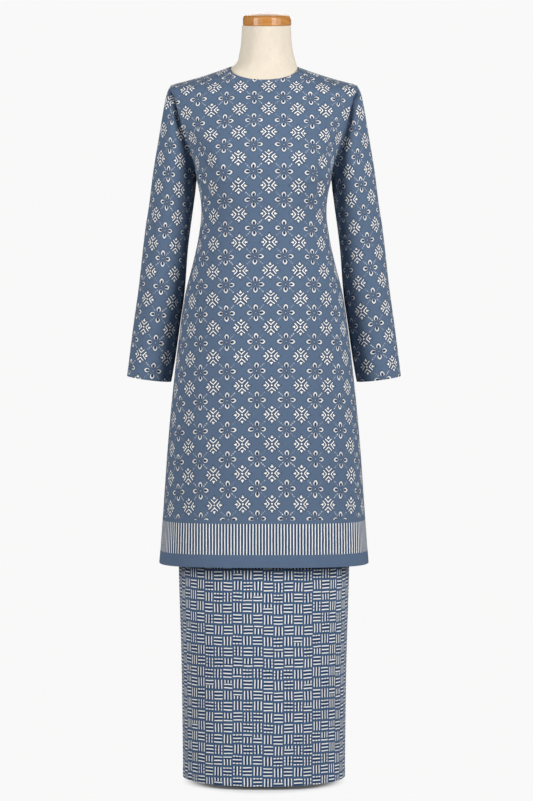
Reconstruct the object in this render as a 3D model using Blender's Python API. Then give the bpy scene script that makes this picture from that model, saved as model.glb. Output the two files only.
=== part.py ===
"""Baju kurung, a Malay tunic (baju) over a tube skirt (kain), on a limbless dress form.

Metres, +Z up, the front faces -Y and +X is the wearer's left. The origin is on the floor,
under the pole of the form. Every piece of cloth is a thin wall: its outer points come from
the garment's own sizes, and its inner points lie one cloth thickness further in.
"""

import math
from collections import namedtuple

import bmesh
import bpy
import numpy as np
from mathutils import Matrix, Vector

# ---------------------------------------------------------------- sizes of the cloth

CLOTH = 0.0016
SEAM_GAP = 0.0003
SIDE_PANEL_COLUMNS = 12      # columns from a centre line to a side seam
NECK_COLUMNS = 5             # of those, the columns that end at the neckline
BODY_ROWS = 19               # rows from the tunic's hem to the armpit
ARMHOLE_ROWS = 10            # rows from the armpit to the shoulder

TUNIC_HEM = 0.424
FRONT_HEM_RISE = 0.008       # the hem rides up a little over the centre front
SIDE_HEM_RISE = 0.004        # and at the side seams
ARMPIT = 1.169
NECK_SIDE = (0.067, 0.008, 1.388)
SHOULDER_TIP = (0.180, 0.008, 1.354)
SHOULDER_SAG = 0.0022        # the shoulder seams hang this far below a straight line, halfway along
FRONT_NECK_HEIGHT = 1.366
BACK_NECK_HEIGHT = 1.390

# A level section: squareness is the exponent of its oval, 2 for an ellipse.
BodyRow = namedtuple("BodyRow", "height half_width front back squareness", defaults=(2.35,))

TUNIC_BODY = (
    BodyRow(0.424, 0.2030, 0.160, 0.152),
    BodyRow(0.527, 0.1955, 0.155, 0.147),
    BodyRow(0.667, 0.1855, 0.149, 0.140),
    BodyRow(0.772, 0.1755, 0.144, 0.134),
    BodyRow(0.858, 0.1655, 0.139, 0.127),
    BodyRow(0.951, 0.1520, 0.133, 0.118, 2.38),
    BodyRow(1.013, 0.1365, 0.128, 0.110, 2.42),
    BodyRow(1.060, 0.1265, 0.125, 0.105, 2.50),
    BodyRow(1.107, 0.1210, 0.124, 0.101, 2.62),
    BodyRow(1.140, 0.1235, 0.1270, 0.101, 2.75),
    BodyRow(1.169, 0.1295, 0.1288, 0.102, 2.90),
)

YokeRow = namedtuple("YokeRow", "height half_width front back squareness droop")

# Level sections above the armpit, out to the armhole and then to the shoulder seam. Each runs
# from the centre line by 1 - (1 - r ** squareness) ** droop of its depth.
YOKE = (
    YokeRow(1.169, 0.1295, 0.1288, 0.1020, 2.90, 0.345),
    YokeRow(1.198, 0.1335, 0.1290, 0.1035, 2.75, 0.560),
    YokeRow(1.229, 0.1420, 0.1222, 0.1045, 2.60, 0.800),
    YokeRow(1.268, 0.1556, 0.1065, 0.1035, 2.50, 0.950),
    YokeRow(1.303, 0.1680, 0.0895, 0.1000, 2.40, 0.920),
    YokeRow(1.330, 0.1752, 0.0735, 0.0935, 2.30, 0.800),
    YokeRow(1.354, 0.1800, 0.0580, 0.0860, 2.30, 0.660),
    YokeRow(1.366, 0.1401, 0.0500, 0.0815, 2.30, 0.600),
    YokeRow(1.390, 0.0604, 0.0350, 0.0720, 2.20, 0.580),
)
ARMHOLE_FRONT = 0.054        # how far the armhole's oval reaches forward and back
ARMHOLE_BACK = 0.062
ARMHOLE_EGG = (0.44, 0.56)   # exponents of the egg's blunt lower and narrower upper end

# Shallow flares that hang from the bust and the shoulder blades to the tunic's hem.
Flare = namedtuple("Flare", "angle width depth top")
FLARES = (
    Flare(-152, 17, 0.0040, 0.95),
    Flare(-118, 13, 0.0022, 0.80),
    Flare(-64, 14, 0.0024, 0.84),
    Flare(-30, 16, 0.0036, 0.97),
    Flare(33, 17, 0.0042, 0.96),
    Flare(66, 12, 0.0026, 0.82),
    Flare(109, 13, 0.0028, 0.84),
    Flare(146, 18, 0.0040, 0.98),
)

# Drag lines that run from the armhole towards the bust dart.
CHEST_FOLD_DEPTH = 0.0045
CHEST_FOLD_TOP = (0.143, 1.250)
CHEST_FOLD_FOOT = (0.100, 1.120)
CHEST_FOLD_WIDTH = 0.011

ArmRow = namedtuple("ArmRow", "height centre_x centre_y half_width half_depth")

SLEEVE_TUBE = (
    ArmRow(1.150, 0.1756, 0.007, 0.0437, 0.0620),
    ArmRow(1.050, 0.1892, 0.009, 0.0434, 0.0570),
    ArmRow(0.950, 0.1990, 0.011, 0.0450, 0.0530),
    ArmRow(0.900, 0.2062, 0.012, 0.0449, 0.0515),
    ArmRow(0.850, 0.2130, 0.012, 0.0448, 0.0500),
    ArmRow(0.820, 0.2171, 0.011, 0.0444, 0.0490),
    ArmRow(0.784, 0.2226, 0.010, 0.0430, 0.0475),
)
SLEEVE_CAP_ROWS = 6
SLEEVE_TUBE_ROWS = 12
SLEEVE_HANG = math.radians(7.3)

CapHandle = namedtuple("CapHandle", "turn outward forward down reach")

# How the sleeve leaves the armhole seam, by the turn from armpit over the front to the top.
SLEEVE_CAP = (
    CapHandle(0.00, 0.20, 0.00, 0.98, 0.006),
    CapHandle(0.25, 0.42, 0.25, 0.87, 0.020),
    CapHandle(0.50, 0.55, 0.12, 0.80, 0.027),
    CapHandle(0.75, 0.52, 0.14, 0.79, 0.017),
    CapHandle(1.00, 0.48, 0.00, 0.88, 0.009),
)

SKIRT_HEM = 0.006
SKIRT_TOP = 1.004
SKIRT_ROWS = 13
SKIRT_COLUMNS = 10
SKIRT = (
    BodyRow(0.006, 0.1575, 0.143, 0.140),
    BodyRow(0.240, 0.1605, 0.142, 0.137),
    BodyRow(0.420, 0.1655, 0.140, 0.134),
    BodyRow(0.640, 0.1660, 0.137, 0.128),
    BodyRow(0.800, 0.1600, 0.131, 0.120),
    BodyRow(0.880, 0.1530, 0.125, 0.114),
    BodyRow(0.950, 0.1360, 0.111, 0.104),
    BodyRow(1.004, 0.1170, 0.099, 0.094),
)
WAISTBAND_HEIGHT = 0.030
WAISTBAND_WALL = 0.0024

# ---------------------------------------------------------------- sizes of the dress form

FORM_BODY = (
    BodyRow(0.745, 0.1440, 0.110, 0.102, 2.2),
    BodyRow(0.800, 0.1490, 0.115, 0.106, 2.2),
    BodyRow(0.880, 0.1440, 0.112, 0.103, 2.2),
    BodyRow(0.950, 0.1250, 0.100, 0.094, 2.2),
    BodyRow(1.020, 0.1090, 0.090, 0.086, 2.2),
    BodyRow(1.070, 0.1070, 0.095, 0.086, 2.3),
    BodyRow(1.120, 0.1120, 0.107, 0.090, 2.45),
    BodyRow(1.169, 0.1215, 0.120, 0.094, 2.8),
)
NECK_MIDDLE = 0.006          # the neck's oval sections are centred this far behind the pole
FORM_EASE_ARMPIT = 0.0064    # air between the form and the cloth above the armpit
FORM_EASE_SHOULDER = 0.0021
ARMPLATE_INSET = 0.0030      # the covered arm stump lies behind the armhole by this much

NECK = (
    BodyRow(1.398, 0.0568, 0.046, 0.064, 2.0),
    BodyRow(1.415, 0.0522, 0.045, 0.060, 2.0),
    BodyRow(1.433, 0.0492, 0.045, 0.058, 2.0),
    BodyRow(1.4685, 0.0470, 0.047, 0.055, 2.0),
)
NECK_SHIFT = 0.0048          # the neck stands this far towards the wearer's left
CAP_SIDES = 32
CAP_FOOT = 1.4688
CAP_SHOULDER = 1.4886        # where the rounded edge would come level
CAP_HALF_WIDTH = 0.0466
CAP_HALF_DEPTH = 0.0520
CAP_CENTRE = (0.0060, 0.004)
CAP_ROUNDING = 0.0062
CAP_ROUNDING_TURN = math.radians(79)
CAP_ROUNDING_STEPS = 5
CAP_DOME = 0.0040
CAP_DOME_STEPS = 4
POLE_RADIUS = 0.013
BASE_RADIUS = 0.122
BASE_THICKNESS = 0.011
BASE_BEVEL = 0.003
BASE_BOSS_RADIUS = 0.026
BASE_BOSS_TOP = 0.032

# ---------------------------------------------------------------- sizes of the zip

ZIP_TOP = 1.384
ZIP_FOOT = 0.850
TAPE_HALF_WIDTH = 0.010
TAPE_WALL = 0.0006
TAPE_GAP = 0.0005
SLIDER_HEIGHT = 1.371
SLIDER_STEP = 0.010          # height over which the slope of the nape is read
SLIDER_SIZE = (0.0062, 0.0024, 0.0105)
BRIDGE_HALF_WIDTH = 0.0008
BRIDGE_RISE = 0.0030
BRIDGE_STRAP = 0.0009
BRIDGE_HALF_LENGTH = 0.0036
PULL_PIN_RADIUS = 0.0006
PULL_WINDOW_HALF_WIDTH = 0.0014
PULL_LENGTH = 0.024
PULL_HALF_WIDTH = 0.0036
PULL_NECK_HALF_WIDTH = 0.0023
PULL_WINDOW_LENGTH = 0.0052

# ---------------------------------------------------------------- colours

BATIK_BLUE = (0.115, 0.171, 0.262, 1.0)
SKIRT_BLUE = (0.100, 0.152, 0.245, 1.0)
LINEN = (0.83, 0.76, 0.63, 1.0)
VARNISHED_WOOD = (0.56, 0.27, 0.09, 1.0)
PAINTED_STEEL = (0.62, 0.62, 0.61, 1.0)
ZIP_BLUE = (0.090, 0.140, 0.225, 1.0)


def material(name, colour, roughness, metallic=0.0):
    made = bpy.data.materials.new(name)
    made.use_nodes = True
    shader = made.node_tree.nodes["Principled BSDF"]
    shader.inputs["Base Color"].default_value = colour
    shader.inputs["Roughness"].default_value = roughness
    shader.inputs["Metallic"].default_value = metallic
    return made


# ---------------------------------------------------------------- curves and tables


def smooth_step(t):
    t = min(max(t, 0.0), 1.0)
    return t * t * (3 - 2 * t)


def read_table(rows, column, at):
    """The value of a named column at a place, on a smooth curve through the table's rows."""
    places = [row[0] for row in rows]
    values = [getattr(row, column) for row in rows]
    falling = places[0] > places[-1]
    if falling:
        places, values = places[::-1], values[::-1]
    at = min(max(at, places[0]), places[-1])
    last = len(places) - 2
    k = min(max(np.searchsorted(places, at) - 1, 0), last)
    slopes = [(values[i + 1] - values[i]) / (places[i + 1] - places[i]) for i in range(last + 1)]

    def tangent(i):
        if i == 0 or i == last + 1:
            return slopes[min(i, last)]
        return (slopes[i - 1] + slopes[i]) / 2

    step = places[k + 1] - places[k]
    t = (at - places[k]) / step
    return (
        values[k] * (2 * t**3 - 3 * t**2 + 1)
        + tangent(k) * step * (t**3 - 2 * t**2 + t)
        + values[k + 1] * (3 * t**2 - 2 * t**3)
        + tangent(k + 1) * step * (t**3 - t**2)
    )


def oval(half_width, depth, squareness, across):
    """A quarter of a squared oval: across runs from 0 on the centre line to 1 at the side."""
    angle = across * math.pi / 2
    power = 2 / squareness
    return half_width * math.sin(angle) ** power, depth * max(math.cos(angle), 0.0) ** power


# ---------------------------------------------------------------- the tunic's body


def tunic_hem(across, front):
    """The hem's height: it rises a little towards the centre front and the side seams."""
    middle = FRONT_HEM_RISE if front else 0.0
    turn = across * math.pi / 2
    return TUNIC_HEM + middle * math.cos(turn) ** 2 + SIDE_HEM_RISE * math.sin(turn) ** 2


def flare_depth(x, y, height):
    """How far the flares push the cloth out at a point of the lower tunic."""
    angle = math.degrees(math.atan2(y, x))
    pushed = 0.0
    for fold in FLARES:
        fade = smooth_step((fold.top - height) / (fold.top - TUNIC_HEM))
        away = (angle - fold.angle) / fold.width
        pushed += fold.depth * fade * math.exp(-away * away)
    return pushed


def chest_fold_depth(x, height):
    """The shallow drag line between the armhole and the bust dart."""
    top, foot = np.array(CHEST_FOLD_TOP), np.array(CHEST_FOLD_FOOT)
    line = foot - top
    here = np.array((x, height)) - top
    along = float(here @ line / (line @ line))
    across = float(line[0] * here[1] - line[1] * here[0]) / np.linalg.norm(line) / CHEST_FOLD_WIDTH
    fade = max(math.sin(math.pi * min(max(along, 0.0), 1.0)), 0.0)
    return CHEST_FOLD_DEPTH * fade * math.exp(-across * across)


def shoulder_share(across):
    """How far a column ends along the shoulder seam: 0 at the neckline and 1 at the tip."""
    neck_share = NECK_COLUMNS / SIDE_PANEL_COLUMNS
    return max(across - neck_share, 0.0) / (1 - neck_share)


def top_edge(across, front):
    """Where a half panel's column ends: first along the neckline, then the shoulder seam."""
    neck_share = NECK_COLUMNS / SIDE_PANEL_COLUMNS
    side_x, _, side_z = NECK_SIDE
    if across <= neck_share:
        turn = across / neck_share * math.pi / 2
        middle_z = FRONT_NECK_HEIGHT if front else BACK_NECK_HEIGHT
        return side_x * math.sin(turn), side_z + (middle_z - side_z) * math.cos(turn)
    along = shoulder_share(across)
    return side_x + (SHOULDER_TIP[0] - side_x) * along, side_z + (SHOULDER_TIP[2] - side_z) * along


def lower_body_point(across, share, front):
    """A point of a half panel below the armpit; share runs from the hem to the armpit."""
    hem = tunic_hem(across, front)
    height = hem + (ARMPIT - hem) * share
    depth = read_table(TUNIC_BODY, "front" if front else "back", height)
    half_width = read_table(TUNIC_BODY, "half_width", height)
    x, y = oval(half_width, depth, read_table(TUNIC_BODY, "squareness", height), across)
    y = -y if front else y
    out = 1 + flare_depth(x, y, height) / math.hypot(x, y)
    return x * out, y * out, height


def egg(share):
    """The armhole's outline from the side: 0 at both ends and 1 at its widest."""
    low, high = ARMHOLE_EGG
    widest = low / (low + high)
    return (share / widest) ** low * ((1 - share) / (1 - widest)) ** high


def yoke_half_width(height):
    """Half the width of a level section, up to the armhole or to the straight shoulder seam."""
    tip_x, _, tip_z = SHOULDER_TIP
    if height <= tip_z:
        return read_table(YOKE, "half_width", height)
    slope = (NECK_SIDE[0] - tip_x) / (NECK_SIDE[2] - tip_z)
    return tip_x + slope * (height - tip_z)


def upper_body_point(across, share, front):
    """A point of a half panel above the armpit; share runs from the armpit to the top edge."""
    foot_x = lower_body_point(across, 1.0, front)[0]
    top_x, top_z = top_edge(across, front)
    foot_reach, top_reach = foot_x / TUNIC_BODY[-1].half_width, top_x / SHOULDER_TIP[0]
    reach = foot_reach + (top_reach - foot_reach) * share**1.3
    edge_height = ARMPIT + (SHOULDER_TIP[2] - ARMPIT) * share
    x = reach * yoke_half_width(edge_height)
    height = ARMPIT + (top_z - ARMPIT) * share

    side = -1 if front else 1
    up_armhole = min((height - ARMPIT) / (SHOULDER_TIP[2] - ARMPIT), 1.0)
    edge_y = SHOULDER_TIP[1] * up_armhole
    edge_y += side * (ARMHOLE_FRONT if front else ARMHOLE_BACK) * egg(up_armhole)
    centre_y = side * read_table(YOKE, "front" if front else "back", height)
    out = min(x / yoke_half_width(height), 1.0)
    squareness, droop = (read_table(YOKE, name, height) for name in ("squareness", "droop"))
    y = edge_y + (centre_y - edge_y) * (1 - out**squareness) ** droop
    if front:
        y += chest_fold_depth(x, height)
    sag = SHOULDER_SAG * math.sin(math.pi * shoulder_share(across)) * share**4
    return x, y, height - sag


def tunic_point(across, share, front, mirror):
    """A point of the tunic: share is 0 at the hem, 1 at the armpit and 2 at the top edge."""
    if share <= 1:
        x, y, z = lower_body_point(across, share, front)
    else:
        x, y, z = upper_body_point(across, share - 1, front)
    return (-x if mirror else x), y, z


def tunic_shares():
    """The rows of a tunic panel, closer together at both ends of the armhole."""
    lower = [i / BODY_ROWS for i in range(BODY_ROWS)]
    upper = [1.5 - 0.5 * math.cos(math.pi * i / ARMHOLE_ROWS) for i in range(ARMHOLE_ROWS + 1)]
    return lower + upper


def half_panel(front, mirror):
    """Rows of points from the centre line to the side seam and armhole."""
    columns = [i / SIDE_PANEL_COLUMNS for i in range(SIDE_PANEL_COLUMNS + 1)]
    return np.array(
        [[tunic_point(across, share, front, mirror) for across in columns] for share in tunic_shares()]
    )


# ---------------------------------------------------------------- walls from points


def grid_normals(grid, wrap=False):
    """Unit normals of a grid of points, by central differences."""
    if wrap:
        along = np.roll(grid, -1, axis=1) - np.roll(grid, 1, axis=1)
    else:
        along = np.gradient(grid, axis=1)
    up = np.gradient(grid, axis=0)
    normals = np.cross(along, up)
    return normals / np.linalg.norm(normals, axis=2, keepdims=True)


def share_normals(first, second):
    """Gives both sides of a seam the same normals, so that their edges stay parallel."""
    both = first + second
    both /= np.linalg.norm(both, axis=1, keepdims=True)
    first[:] = both
    second[:] = both


def draw_back(edge, inward):
    """Moves an edge half a seam gap away from its seam, towards its own panel."""
    step = inward - edge
    edge += step / np.linalg.norm(step, axis=1, keepdims=True) * (SEAM_GAP / 2)


def wall_object(name, outer, normals, wall, finish, wrap=False):
    """A closed wall between a grid of outer points and the same grid moved in by its wall."""
    rows, columns = outer.shape[:2]
    inner = outer - normals * wall
    mesh = bmesh.new()
    skins = [
        [[mesh.verts.new(grid[i, j]) for j in range(columns)] for i in range(rows)]
        for grid in (outer, inner)
    ]
    spans = columns if wrap else columns - 1
    for i in range(rows - 1):
        for j in range(spans):
            k = (j + 1) % columns
            out, back = skins
            mesh.faces.new((out[i][j], out[i][k], out[i + 1][k], out[i + 1][j]))
            mesh.faces.new((back[i][j], back[i + 1][j], back[i + 1][k], back[i][k]))
    for j in range(spans):
        k = (j + 1) % columns
        for i, order in ((0, 1), (rows - 1, -1)):
            rim = (skins[0][i][j], skins[1][i][j], skins[1][i][k], skins[0][i][k])
            mesh.faces.new(rim[::order])
    if not wrap:
        for i in range(rows - 1):
            for j, order in ((0, 1), (columns - 1, -1)):
                rim = (skins[0][i][j], skins[0][i + 1][j], skins[1][i + 1][j], skins[1][i][j])
                mesh.faces.new(rim[::order])
    return mesh_object(name, mesh, finish)


def mesh_object(name, mesh, finish):
    data = bpy.data.meshes.new(name)
    mesh.normal_update()
    mesh.to_mesh(data)
    mesh.free()
    data.shade_smooth()
    data.set_sharp_from_angle(angle=math.radians(50))
    data.materials.append(finish)
    made = bpy.data.objects.new(name, data)
    bpy.context.scene.collection.objects.link(made)
    return made


def loft(name, rings, finish):
    """A closed solid through level rings of points, with a flat face at each end."""
    mesh = bmesh.new()
    levels = [[mesh.verts.new(point) for point in ring] for ring in rings]
    sides = len(levels[0])
    for low, high in zip(levels, levels[1:]):
        for j in range(sides):
            k = (j + 1) % sides
            mesh.faces.new((low[j], low[k], high[k], high[j]))
    mesh.faces.new(levels[0][::-1])
    mesh.faces.new(levels[-1])
    return mesh_object(name, mesh, finish)


# ---------------------------------------------------------------- tunic and sleeves

Panel = namedtuple("Panel", "points normals")


def make_panels():
    """The tunic's three panels as they meet at their seams, each row from left to right."""
    left, right = half_panel(front=True, mirror=False), half_panel(front=True, mirror=True)
    front = np.concatenate([right[:, :0:-1], left], axis=1)
    back_left = half_panel(front=False, mirror=False)[:, ::-1]
    back_right = half_panel(front=False, mirror=True)
    panels = [Panel(points, grid_normals(points)) for points in (front, back_left, back_right)]
    front, back_left, back_right = panels
    for normals in (back_left.normals[:, -1], back_right.normals[:, 0]):
        normals[:, 0] = 0
        normals /= np.linalg.norm(normals, axis=1, keepdims=True)
    side = slice(0, BODY_ROWS + 1)
    share_normals(front.normals[side, -1], back_left.normals[side, 0])
    share_normals(front.normals[side, 0], back_right.normals[side, -1])
    shoulder = SIDE_PANEL_COLUMNS - NECK_COLUMNS + 1
    share_normals(front.normals[-1, -shoulder:], back_left.normals[-1, shoulder - 1 :: -1])
    share_normals(front.normals[-1, :shoulder], back_right.normals[-1, : -shoulder - 1 : -1])
    return front, back_left, back_right


def armhole_loop(first, second):
    """One closed loop from two panel edges: up the first from the armpit and down the second."""
    return np.concatenate([first[BODY_ROWS:], second[BODY_ROWS + 1 : -1][::-1]])


def sew_armhole(first, second, side):
    """Opens the seam gap round an armhole and returns the sleeve that hangs from it.

    first and second are (panel, column) pairs in the order of armhole_loop.
    """
    (one, i), (two, j) = first, second
    loop = armhole_loop(one.points[:, i], two.points[:, j])
    normals = armhole_loop(one.normals[:, i], two.normals[:, j])
    points = sleeve_points(loop, side)
    sleeve = Panel(points, grid_normals(points, wrap=True))
    share_normals(normals, sleeve.normals[-1])
    apart = np.cross(normals, np.roll(loop, -1, axis=0) - np.roll(loop, 1, axis=0))
    apart *= np.sign(apart[:, :1]) * side * SEAM_GAP / 2 / np.linalg.norm(apart, axis=1, keepdims=True)
    sleeve.points[-1] += apart
    closed = np.concatenate([normals, normals[:1]])
    moves = np.concatenate([apart, apart[:1]])
    one.normals[BODY_ROWS:, i] = closed[: ARMHOLE_ROWS + 1]
    two.normals[BODY_ROWS:, j] = closed[: ARMHOLE_ROWS - 1 : -1]
    one.points[BODY_ROWS:, i] -= moves[: ARMHOLE_ROWS + 1]
    two.points[BODY_ROWS:, j] -= moves[: ARMHOLE_ROWS - 1 : -1]
    return sleeve


def make_tunic(panels, finish):
    """The front, the two backs and both sleeves."""
    front, back_left, back_right = panels
    sleeve_left = sew_armhole((front, -1), (back_left, 0), 1)
    sleeve_right = sew_armhole((back_right, -1), (front, 0), -1)
    side = slice(0, BODY_ROWS + 1)
    for points in (front.points, back_left.points, back_right.points):
        draw_back(points[-1], points[-2].copy())
    for panel, edge, beside in ((front, 0, 1), (front, -1, -2), (back_left, 0, 1), (back_right, -1, -2)):
        draw_back(panel.points[side, edge], panel.points[side, beside].copy())
    for panel, edge, beside in ((back_left, -1, -2), (back_right, 0, 1)):
        draw_back(panel.points[:, edge], panel.points[:, beside].copy())
    wall_object("tunic_front", *front, CLOTH, finish)
    wall_object("tunic_back_left", *back_left, CLOTH, finish)
    wall_object("tunic_back_right", *back_right, CLOTH, finish)
    wall_object("sleeve_left", *sleeve_left, CLOTH, finish, wrap=True)
    wall_object("sleeve_right", *sleeve_right, CLOTH, finish, wrap=True)


def sleeve_ring(height, side, turns):
    """A section of the sleeve's tube, square to the hanging arm."""
    centre = np.array([read_table(SLEEVE_TUBE, "centre_x", height),
                       read_table(SLEEVE_TUBE, "centre_y", height), height])
    half_width = read_table(SLEEVE_TUBE, "half_width", height)
    half_depth = read_table(SLEEVE_TUBE, "half_depth", height)
    ring = []
    for turn in turns:
        outward, forward = -math.cos(math.pi * turn), math.sin(math.pi * turn)
        ring.append(centre + (half_width * outward * math.cos(SLEEVE_HANG),
                              -half_depth * forward,
                              half_width * outward * math.sin(SLEEVE_HANG)))
    ring = np.array(ring)
    ring[:, 0] *= side
    return ring


def sleeve_points(armhole, side):
    """Rows of points from the cuff up to the armhole seam.

    A turn of 0 is the armpit and 1 the top of the shoulder; the front comes first on the
    wearer's left and the back on the right, so that both tubes face outwards.
    """
    turns = np.array([2 * i / len(armhole) for i in range(len(armhole))]) * side
    top, cuff = SLEEVE_TUBE[0].height, SLEEVE_TUBE[-1].height
    tube = [sleeve_ring(top + (cuff - top) * i / SLEEVE_TUBE_ROWS, side, turns)
            for i in range(SLEEVE_TUBE_ROWS + 1)]
    down_arm = tube[1] - tube[0]
    down_arm /= np.linalg.norm(down_arm, axis=1, keepdims=True)
    span = np.linalg.norm(tube[0] - armhole, axis=1, keepdims=True)
    first = armhole + np.array([cap_handle(turn, side) for turn in turns])
    second = tube[0] - down_arm * span * 0.42
    cap = []
    for i in range(SLEEVE_CAP_ROWS):
        t = (i / SLEEVE_CAP_ROWS) ** 1.25
        cap.append(armhole * (1 - t) ** 3 + first * 3 * t * (1 - t) ** 2
                   + second * 3 * t**2 * (1 - t) + tube[0] * t**3)
    return np.array(cap + tube)[::-1].copy()


def cap_handle(turn, side):
    """The direction and reach with which the sleeve leaves the armhole at a turn."""
    lift = 1 - abs(1 - abs(turn) % 2)
    forward = 1 if math.sin(math.pi * turn) > 0 else -1
    direction = np.array([side * read_table(SLEEVE_CAP, "outward", lift),
                          -forward * read_table(SLEEVE_CAP, "forward", lift),
                          -read_table(SLEEVE_CAP, "down", lift)])
    return direction * read_table(SLEEVE_CAP, "reach", lift)


# ---------------------------------------------------------------- skirt


def oval_ring(table, height, columns, middle=0.0):
    """A level ring, counter-clockwise from the wearer's right side seam over the front."""
    half_width = read_table(table, "half_width", height)
    squareness = read_table(table, "squareness", height)
    front, back = read_table(table, "front", height), read_table(table, "back", height)
    ring = []
    for i in range(-columns, columns):
        x, y = oval(half_width, front + middle, squareness, abs(i) / columns)
        ring.append((math.copysign(x, i), middle - y, height))
    for i in range(columns, -columns, -1):
        x, y = oval(half_width, back - middle, squareness, abs(i) / columns)
        ring.append((math.copysign(x, i), middle + y, height))
    return np.array(ring)


def make_skirt(finish):
    rows = [SKIRT_HEM + (SKIRT_TOP - SKIRT_HEM) * i / SKIRT_ROWS for i in range(SKIRT_ROWS + 1)]
    rings = np.array([oval_ring(SKIRT, height, SKIRT_COLUMNS) for height in rows])
    half = 2 * SKIRT_COLUMNS
    front = rings[:, : half + 1].copy()
    back = np.concatenate([rings[:, half:], rings[:, :1]], axis=1)
    normals = grid_normals(rings, wrap=True)
    for points in (front, back):
        for edge, beside in ((points[:, 0], points[:, 1]), (points[:, -1], points[:, -2])):
            draw_back(edge, beside.copy())
    wall_object("skirt_front", front, normals[:, : half + 1], CLOTH, finish)
    back_normals = np.concatenate([normals[:, half:], normals[:, :1]], axis=1)
    wall_object("skirt_back", back, back_normals, CLOTH, finish)


def make_waistband(finish):
    """The elasticated band that closes the top of the skirt, hidden under the tunic."""
    low = SKIRT_TOP + SEAM_GAP
    top = SKIRT[-1:] + (SKIRT[-1]._replace(height=low + WAISTBAND_HEIGHT),)
    rings = [oval_ring(top, low + WAISTBAND_HEIGHT * i / 2, SKIRT_COLUMNS) for i in range(3)]
    outer = np.array(rings)
    wall_object("skirt_waistband", outer, grid_normals(outer, wrap=True), WAISTBAND_WALL, finish, wrap=True)


# ---------------------------------------------------------------- dress form and stand


def yoke_points(panel):
    """The form's skin above the armpit: the panel moved in by its wall and the form's ease."""
    rows = []
    for i in range(BODY_ROWS, len(panel.points)):
        rise = (i - BODY_ROWS) / ARMHOLE_ROWS
        ease = FORM_EASE_ARMPIT + (FORM_EASE_SHOULDER - FORM_EASE_ARMPIT) * rise
        rows.append(panel.points[i] - panel.normals[i] * (CLOTH + ease))
    return np.array(rows)


def add_skin(mesh, grid):
    """Adds the quads of a grid of points, left to right and bottom to top, to a bmesh."""
    verts = [[mesh.verts.new(point) for point in row] for row in grid]
    for low, high in zip(verts, verts[1:]):
        for j in range(len(low) - 1):
            mesh.faces.new((low[j], low[j + 1], high[j + 1], high[j]))


def make_torso(panels, finish):
    """The padded body of the form with its neck; flat plates cover it where arms would start."""
    front, back_left, back_right = (yoke_points(panel) for panel in panels)
    for points, column, side in ((front, 0, -1), (front, -1, 1), (back_left, 0, 1), (back_right, -1, -1)):
        points[:, column, 0] -= side * ARMPLATE_INSET
    armpit = [row for row in FORM_BODY if row.height < ARMPIT]
    rings = np.array([oval_ring(FORM_BODY, row.height, SIDE_PANEL_COLUMNS) for row in armpit])
    rings = np.concatenate([rings, rings[:, :1]], axis=1)
    for points, column in ((front, 0), (front, -1), (back_left, 0), (back_right, -1)):
        points[0, column, 1] = 0.0
    seam_ring = np.concatenate([front[0], back_left[0, 1:], back_right[0, 1:]])

    mesh = bmesh.new()
    add_skin(mesh, np.concatenate([rings, seam_ring[None]]))
    for points in (front, back_left, back_right):
        add_skin(mesh, points)
    add_skin(mesh, np.stack([front[:, -1], back_left[:, 0]], axis=1))
    add_skin(mesh, np.stack([back_right[:, -1], front[:, 0]], axis=1))
    neck = NECK_COLUMNS
    foot = np.concatenate([front[-1, SIDE_PANEL_COLUMNS - neck : SIDE_PANEL_COLUMNS + neck + 1],
                           back_left[-1, -neck:], back_right[-1, 1 : neck + 1]])
    levels = [oval_ring(NECK, row.height, neck, NECK_MIDDLE) + (NECK_SHIFT, 0, 0) for row in NECK]
    levels = [np.concatenate([ring, ring[:1]]) for ring in levels]
    add_skin(mesh, [foot, *levels])
    mesh.faces.new([mesh.verts.new(point) for point in rings[0, -2::-1]])
    mesh.faces.new([mesh.verts.new(point) for point in levels[-1][:-1]])
    bmesh.ops.remove_doubles(mesh, verts=mesh.verts[:], dist=1e-6)
    return mesh_object("form_torso", mesh, finish)


def make_cap(finish):
    """The turned wooden cap on the neck, rounded at its upper edge and a little domed."""
    levels = [(CAP_FOOT, 0.0012), (CAP_FOOT + 0.0012, 0.0)]
    for i in range(CAP_ROUNDING_STEPS + 1):
        turn = CAP_ROUNDING_TURN * i / CAP_ROUNDING_STEPS
        levels.append((CAP_SHOULDER - CAP_ROUNDING * (1 - math.sin(turn)), CAP_ROUNDING * (1 - math.cos(turn))))
    edge_height, edge = levels[-1]
    for i in range(1, CAP_DOME_STEPS):
        left = 1 - i / CAP_DOME_STEPS
        levels.append((edge_height + CAP_DOME * (1 - left**2), CAP_HALF_WIDTH - (CAP_HALF_WIDTH - edge) * left))
    rings = []
    for height, inset in levels:
        rings.append([(CAP_CENTRE[0] + (CAP_HALF_WIDTH - inset) * math.cos(2 * math.pi * i / CAP_SIDES),
                       CAP_CENTRE[1] + (CAP_HALF_DEPTH - inset) * math.sin(2 * math.pi * i / CAP_SIDES),
                       height) for i in range(CAP_SIDES)])
    loft("form_neck_cap", rings, finish)


def round_rings(profile, sides):
    """Level circles for a turned piece, from (radius, height) pairs."""
    turns = [2 * math.pi * i / sides for i in range(sides)]
    return [[(radius * math.cos(turn), radius * math.sin(turn), height) for turn in turns]
            for radius, height in profile]


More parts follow.
